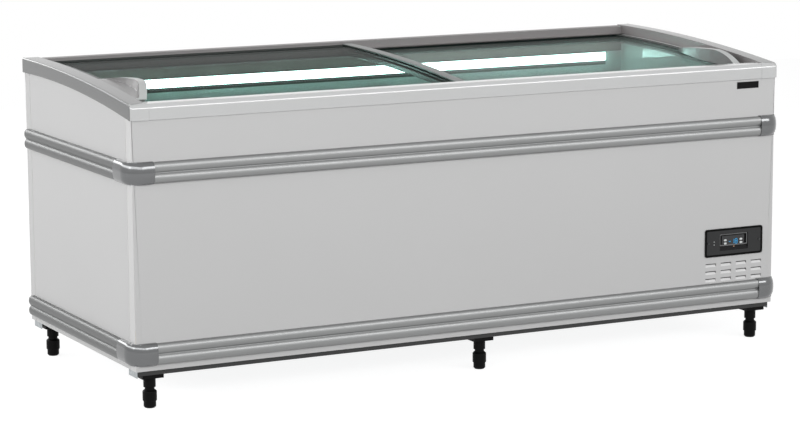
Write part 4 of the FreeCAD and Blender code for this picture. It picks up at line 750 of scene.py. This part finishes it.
# The dark bar is painted shade under the lamp.
shade_bar_mesh = box_mesh("lamp_comb_bar", Vector((lamp_run, SHADE_BAR_DEPTH, SHADE_BAR_HEIGHT)))
shade_bar_mesh.transform(Matrix.Translation(((lamp_low.x + lamp_high.x) / 2, lamp_low.y + SHADE_BAR_DEPTH / 2,
                                        lamp_low.z - SHADE_BAR_HEIGHT / 2)))
fit(shade_bar_mesh, "lamp_housing", shade_bar_dark, 0.6)
first_tooth = Vector((lamp_low.x + DIODE_PITCH / 2, lamp_low.y - TOOTH.y / 2, lamp_low.z - TOOTH_DROP))
teeth = lay_row("lamp_comb_teeth", box_mesh("tooth", TOOTH, TOOTH_TAPER), first_tooth,
                Vector((DIODE_PITCH, 0, 0)), int(lamp_run / DIODE_PITCH), tub_white)
settle(teeth, "lamp_housing", tub_white, stands_for=False)

# Controls
# A black bezel screwed into the front holds the thermostat: a dark moulded face with four small buttons
# and a display, over a sloping sill. A small plain black plate is glued under the front profile.
RIM_WIDTH = 6 * MM
RIM_PROUD = 0.8 * MM
RIM_ROUND = 7 * MM
ARC_STEPS = 6


def rounded_frame(name, low, high, width, corner_round, depth):
    """A flat ring with rounded corners, facing the front, from its outer corners to a width inside."""
    def loop(inset, radius, y):
        points = []
        for corner_x, corner_z, start in ((high.x, high.z, 0), (low.x, high.z, 90), (low.x, low.z, 180),
                                          (high.x, low.z, 270)):
            middle_x = corner_x - math.copysign(inset + radius, corner_x - (low.x + high.x) / 2)
            middle_z = corner_z - math.copysign(inset + radius, corner_z - (low.z + high.z) / 2)
            for step in range(ARC_STEPS + 1):
                turn = math.radians(start + 90 * step / ARC_STEPS)
                points.append((middle_x + radius * math.cos(turn), y, middle_z + radius * math.sin(turn)))
        return points

    front = low.y - depth
    inner_round = corner_round - width / 2
    rings = [loop(0, corner_round, low.y), loop(0, corner_round, front), loop(width, inner_round, front),
             loop(width, inner_round, low.y)]
    count = len(rings[0])
    points = [point for ring in rings for point in ring]
    faces = []
    for ring in range(len(rings)):
        after = (ring + 1) % len(rings)
        for i in range(count):
            j = (i + 1) % count
            faces.append((ring * count + i, ring * count + j, after * count + j, after * count + i))
    mesh = bpy.data.meshes.new(name)
    mesh.from_pydata(points, [], faces)
    shape = bmesh.new()
    shape.from_mesh(mesh)
    bmesh.ops.recalc_face_normals(shape, faces=shape.faces[:])
    shape.to_mesh(mesh)
    shape.free()
    return mesh


# The plate and the rim are a dull deep black. The bezel is a dark grey with some gloss, the face inside
# it a shade deeper, and the bead round the face catches a thin bright line.
plate_black = moulded("dull_black_plate", "#060606", "#080808", roughness=0.6, grain_mm=2, depth_mm=0.02,
                      specular=0.1)
bezel_black = moulded("black_moulded_bezel", "#050505", "#080808", roughness=0.5, grain_mm=2, depth_mm=0.02,
                      specular=0.05)
bezel_grey = moulded("dark_grey_gloss_bezel", "#18191a", "#212223", roughness=0.22, grain_mm=2,
                     depth_mm=0.02, specular=0.35)
unit_dark = moulded("near_black_thermostat_face", "#1b1c1e", "#222325", roughness=0.3, grain_mm=2,
                    depth_mm=0.02)
bead_grey = moulded("grey_gloss_bead", "#4a4b4c", "#505152", roughness=0.2, grain_mm=2, depth_mm=0.01,
                    specular=0.8)
dress("front_plate", "plate", 0.4, plate_black)
dress("controller_bezel", "moulding", 1.0, bezel_grey)
bezel_low, bezel_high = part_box("controller_bezel")
bezel_middle = (bezel_low + bezel_high) / 2
rim_mesh = rounded_frame("controller_rim", bezel_low, bezel_high, RIM_WIDTH, RIM_ROUND, RIM_PROUD)
fit(rim_mesh, "controller_bezel", bezel_black, 0.3)
dress("controller_unit", "moulding", 1.2, unit_dark)
unit_low, unit_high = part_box("controller_unit")
BEAD_WIDTH = 4 * MM
BEAD_PROUD = 2.5 * MM
SILL_TOP = 13 * MM
SILL_DEPTH = 4 * MM
POCKET = Vector((100, 0, 50)) * MM
pocket_low = Vector((bezel_middle.x - POCKET.x / 2, unit_low.y, bezel_middle.z - POCKET.z / 2))
pocket_high = Vector((bezel_middle.x + POCKET.x / 2, unit_low.y, bezel_middle.z + POCKET.z / 2))
bead_low = pocket_low + Vector((0, 0, SILL_TOP))
bead_mesh = rounded_frame("controller_bead", bead_low, pocket_high, BEAD_WIDTH, BEAD_WIDTH, BEAD_PROUD)
fit(bead_mesh, "controller_unit", bead_grey, 1.2)


def wedge_mesh(name, low, high, depth):
    """A sill that slopes from the front of its foot back to its top."""
    points = [(x, y, z) for x in (low.x, high.x)
              for y, z in ((low.y - depth, low.z), (low.y, low.z), (low.y, high.z))]
    mesh = bpy.data.meshes.new(name)
    mesh.from_pydata(points, [], [(0, 1, 2), (3, 5, 4), (0, 3, 4, 1), (1, 4, 5, 2), (2, 5, 3, 0)])
    return mesh


# The sill is dull black, so that its slope doesn't shine under the display.
sill_black = moulded("black_controller_sill", "#0d0d0e", "#131314", roughness=0.5, grain_mm=1.5,
                     depth_mm=0.05, specular=0.1)
sill_high = Vector((pocket_high.x, unit_low.y, pocket_low.z + SILL_TOP))
fit(wedge_mesh("controller_sill", pocket_low, sill_high, SILL_DEPTH), "controller_unit", sill_black, 0.4)


def lit(name, colour, strength):
    """A small light behind dark plastic: its colour glows evenly."""
    material, tree, _ = new_finish(name)
    close_finish(tree, {"Base Color": linear(colour), "Roughness": 0.4, "Emission Color": linear(colour),
                        "Emission Strength": strength})
    return material


BAR_LONG = 6.2 * MM
BAR_THICK = 1.5 * MM
BAR_PROUD = 0.4 * MM
BAR_STEP = BAR_LONG + BAR_THICK / 2
FIGURE_STEP = 11.4 * MM
SEGMENTS = {
    "top": (0, 1, False), "middle": (0, 0, False), "foot": (0, -1, False),
    "upper_left": (-0.5, 0.5, True), "upper_right": (0.5, 0.5, True),
    "lower_left": (-0.5, -0.5, True), "lower_right": (0.5, -0.5, True),
}
FIGURES = (("middle",), ("upper_right", "lower_right"), tuple(SEGMENTS))


def figure_mesh(name, middle):
    """Seven-segment figures that read minus eighteen, as one mesh of small bars."""
    shape = bmesh.new()
    for place, bars in enumerate(FIGURES):
        for bar in bars:
            across, up, upright = SEGMENTS[bar]
            size = (BAR_THICK, BAR_PROUD, BAR_LONG) if upright else (BAR_LONG, BAR_PROUD, BAR_THICK)
            shift = Vector(((place - 1) * FIGURE_STEP + across * BAR_STEP, 0, up * BAR_STEP))
            for vert in bmesh.ops.create_cube(shape, size=1)["verts"]:
                vert.co = vert.co * Vector(size) + middle + shift
    return close_shape(shape, name)


def dome_mesh(name, radius, places):
    """Small round domes that face the front, as one mesh."""
    shape = bmesh.new()
    for place in places:
        made = bmesh.ops.create_uvsphere(shape, u_segments=16, v_segments=8, radius=radius)["verts"]
        for vert in made:
            vert.co = Vector((vert.co.x, vert.co.y / 2, vert.co.z)) + place
    for face in shape.faces:
        face.smooth = True
    return close_shape(shape, name)


SIGNAL_RADIUS = 1.7 * MM
SIGNAL_OFFSET = Vector((2, -2, -3)) * MM
PIN_RADIUS = 1.4 * MM
PIN_OFFSET = Vector((-70, 0, -1)) * MM
PIN_STEP = Vector((0, 0, 4.5)) * MM
figure_place = Vector((bezel_middle.x, unit_low.y - BAR_PROUD / 2, (unit_low.z + unit_high.z) / 2))
figures = figure_mesh("display_figures", figure_place)
fit(figures, "controller_unit", lit("blue_display_light", "#1f86b8", strength=0.8))
signal = dome_mesh("signal_light", SIGNAL_RADIUS, [Vector((bezel_middle.x, *sill_high.yz)) + SIGNAL_OFFSET])
fit(signal, "controller_unit", lit("amber_signal_light", "#b89070", strength=0.35))
pin_middle = Vector((bezel_middle.x, bezel_low.y, bezel_middle.z)) + PIN_OFFSET
pins = dome_mesh("bezel_pins", PIN_RADIUS, [pin_middle - PIN_STEP, pin_middle + PIN_STEP])
fit(pins, "controller_bezel", trim_pale)
# Silicone buttons are a soft, dull white. The screws are blackened and hardly show.
button_white = moulded("pale_silicone_buttons", "#d9dddd", "#d2d6d6", roughness=0.5, grain_mm=1,
                       depth_mm=0.02)
screw_black = moulded("blackened_steel_screws", "#1a1b1c", "#222324", roughness=0.35, grain_mm=1,
                      depth_mm=0.02)
for name in ("set", "defrost", "up", "down"):
    dress(f"button_{name}", "moulding", 0.5, button_white)
dress("bezel_screws", "screws", 0.4, screw_black)

# Machines
# The compressor, an enamelled steel shell, stands on rubber mounts behind the condenser, a block of
# aluminium fins. A moulded fan in a zinc-coated shroud draws air through it, all fixed to the base pan.
FIN_PITCH = 4 * MM
FIN = Vector((0.5, 2, 0)) * MM
# Stoved enamel is a glossy black, the fins are bright with fine upright lines, and the dryer is copper red.
machine_black = sprayed("black_stoved_enamel", "#191a1b", "#1f2021", roughness=0.35, peel_mm=4,
                        depth_mm=0.05)
fin_bright = brushed("aluminium_condenser_fins", "#a7aaac", "#b5b8ba", roughness=0.4, along=Z_AXIS,
                     line_mm=1)
copper = brushed("drawn_copper_shell", "#b06a45", "#bd7852", roughness=0.35, along=X_AXIS, line_mm=1)
dress("compressor", "shell", 1.5, machine_black)
dress("compressor_mounts", "rubbers", 1.0, rubber)
dress("condenser", "core", 1.0, fin_bright)
core_low, core_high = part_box("condenser")
fin_size = Vector((FIN.x, FIN.y, core_high.z - core_low.z - 2 * FIN_PITCH))
fin_first = Vector((core_low.x + FIN_PITCH, core_low.y - FIN.y / 2, (core_low.z + core_high.z) / 2))
fins = lay_row("condenser_fins", box_mesh("fin", fin_size), fin_first, Vector((FIN_PITCH, 0, 0)),
               int((core_high.x - core_low.x) / FIN_PITCH) - 1, fin_bright)
settle(fins, "condenser", fin_bright, stands_for=False)
dress("fan_shroud", "sheet", 1.0, zinc)
dress("fan_motor", "shell", 1.2, machine_black)
dress("fan", "blades", 0.5, nylon)
dress("filter_dryer", "shell", 1.5, copper)

# Services
# A moulded rubber gland passes the supply through the back panel. A grey plastic tube drains the tub,
# closed by a rubber plug that is pulled up out of the floor by hand.
dress("cord_gland", "bush", 0.6, rubber)
# Drain plastic is a dull pale grey.
drain_grey = moulded("grey_drain_plastic", "#b9bdbc", "#b2b6b5", roughness=0.45, grain_mm=2, depth_mm=0.03)
dress("drain_tube", "pipe", 0.5, drain_grey)
dress("drain_plug", "plug", 1.0, rubber)

# Floor and backdrop
# A pale floor that keeps the freezer's soft shadow. To the eye, and in metal and glass, it and the backdrop
# are white, and neither adds light to the freezer beyond the studio's plain level.
FLOOR_HALF = 6.0
FLOOR_LIFT = 0.84
AMBIENT = 0.35


def seen_directly(tree):
    """One for rays that show the background itself, through glass and in reflections too."""
    rays = add(tree, "ShaderNodeLightPath").outputs
    either = add(tree, "ShaderNodeMath", {0: rays["Is Camera Ray"], 1: rays["Is Glossy Ray"]},
                 operation="MAXIMUM")
    return add(tree, "ShaderNodeMath", {0: either.outputs[0], 1: rays["Is Transmission Ray"]},
               operation="MAXIMUM").outputs[0]


floor_mesh = bpy.data.meshes.new("studio_floor")
corners = [(-FLOOR_HALF, -FLOOR_HALF, 0), (FLOOR_HALF, -FLOOR_HALF, 0), (FLOOR_HALF, FLOOR_HALF, 0),
           (-FLOOR_HALF, FLOOR_HALF, 0)]
floor_mesh.from_pydata(corners, [], [(0, 1, 2, 3)])
floor = link_piece(floor_mesh)
floor_white = bpy.data.materials.new("pale_studio_floor")
floor_white.use_nodes = True
tree = floor_white.node_tree
tree.nodes.clear()
matt = add(tree, "ShaderNodeBsdfDiffuse", {"Color": linear("#a4a4a4")})
lift = add(tree, "ShaderNodeMath", {0: seen_directly(tree), 1: FLOOR_LIFT}, operation="MULTIPLY")
glow = add(tree, "ShaderNodeEmission", {"Color": linear("#ffffff"), "Strength": lift.outputs[0]})
both = add(tree, "ShaderNodeAddShader", {0: matt.outputs[0], 1: glow.outputs[0]})
add(tree, "ShaderNodeOutputMaterial", {"Surface": both.outputs[0]})
floor_mesh.materials.append(floor_white)

world = bpy.data.worlds.new("white_studio")
bpy.context.scene.world = world
world.use_nodes = True
tree = world.node_tree
tree.nodes.clear()
level = add(tree, "ShaderNodeMapRange", {"Value": seen_directly(tree), "To Min": AMBIENT, "To Max": 1.0})
backdrop = add(tree, "ShaderNodeBackground",
               {"Color": linear("#ffffff"), "Strength": level.outputs["Result"]})
add(tree, "ShaderNodeOutputWorld", {"Surface": backdrop.outputs[0]})

# Studio lamps
# Four long soft boxes stand round the front, the left and the back left, above the lids and turned to the
# freezer, so that each rib and rounded edge shows them as one soft line.
BOX_HEIGHT = 1.25
AIM = Vector((0, 0, 0.4))
SOFT_BOXES = {
    "front_box": ((1.4, -4.8, 2.2), 7.0, 145),
    "corner_box": ((-4.2, -3.4, 2.2), 6.2, 85),
    "left_box": ((-5.4, 0.9, 2.2), 5.4, 84),
    "rim_box": ((-3.0, 4.8, 2.2), 4.6, 80),
}
for name, (place, length, watts) in SOFT_BOXES.items():
    light = bpy.data.lights.new(name, "AREA")
    light.shape = "RECTANGLE"
    light.size = length
    light.size_y = BOX_HEIGHT
    light.energy = watts
    lamp = bpy.data.objects.new(name, light)
    lamp.location = place
    lamp.rotation_mode = "QUATERNION"
    lamp.rotation_quaternion = (AIM - lamp.location).to_track_quat("-Z", "Y")
    lamp.visible_camera = False
    bpy.context.scene.collection.objects.link(lamp)

# Camera
# It stands front left of the freezer, a little above the lids, with a long lens that keeps the long edges
# almost parallel. It is rolled by a fraction of a degree.
TARGET = Vector((-0.0175, 0.008, 0.3965))
AZIMUTH, ELEVATION, ROLL = (math.radians(angle) for angle in (-27.098, 9.413, -0.298))
DISTANCE = 8.233
SENSOR_WIDTH_MM = 36
FOCAL_LENGTH_MM = 124.7
back = Vector((math.sin(AZIMUTH) * math.cos(ELEVATION), -math.cos(AZIMUTH) * math.cos(ELEVATION),
               math.sin(ELEVATION)))
level_right = Vector((math.cos(AZIMUTH), math.sin(AZIMUTH), 0))
level_up = back.cross(level_right)
right = math.cos(ROLL) * level_right + math.sin(ROLL) * level_up
up = math.cos(ROLL) * level_up - math.sin(ROLL) * level_right
lens = bpy.data.cameras.new("photo_camera")
lens.sensor_width = SENSOR_WIDTH_MM
lens.lens = FOCAL_LENGTH_MM
camera = bpy.data.objects.new("photo_camera", lens)
camera.matrix_world = Matrix((
    (right.x, up.x, back.x, TARGET.x + DISTANCE * back.x),
    (right.y, up.y, back.y, TARGET.y + DISTANCE * back.y),
    (right.z, up.z, back.z, TARGET.z + DISTANCE * back.z),
    (0, 0, 0, 1)))
bpy.context.scene.collection.objects.link(camera)
bpy.context.scene.camera = camera
bpy.context.scene.view_settings.view_transform = "Standard"
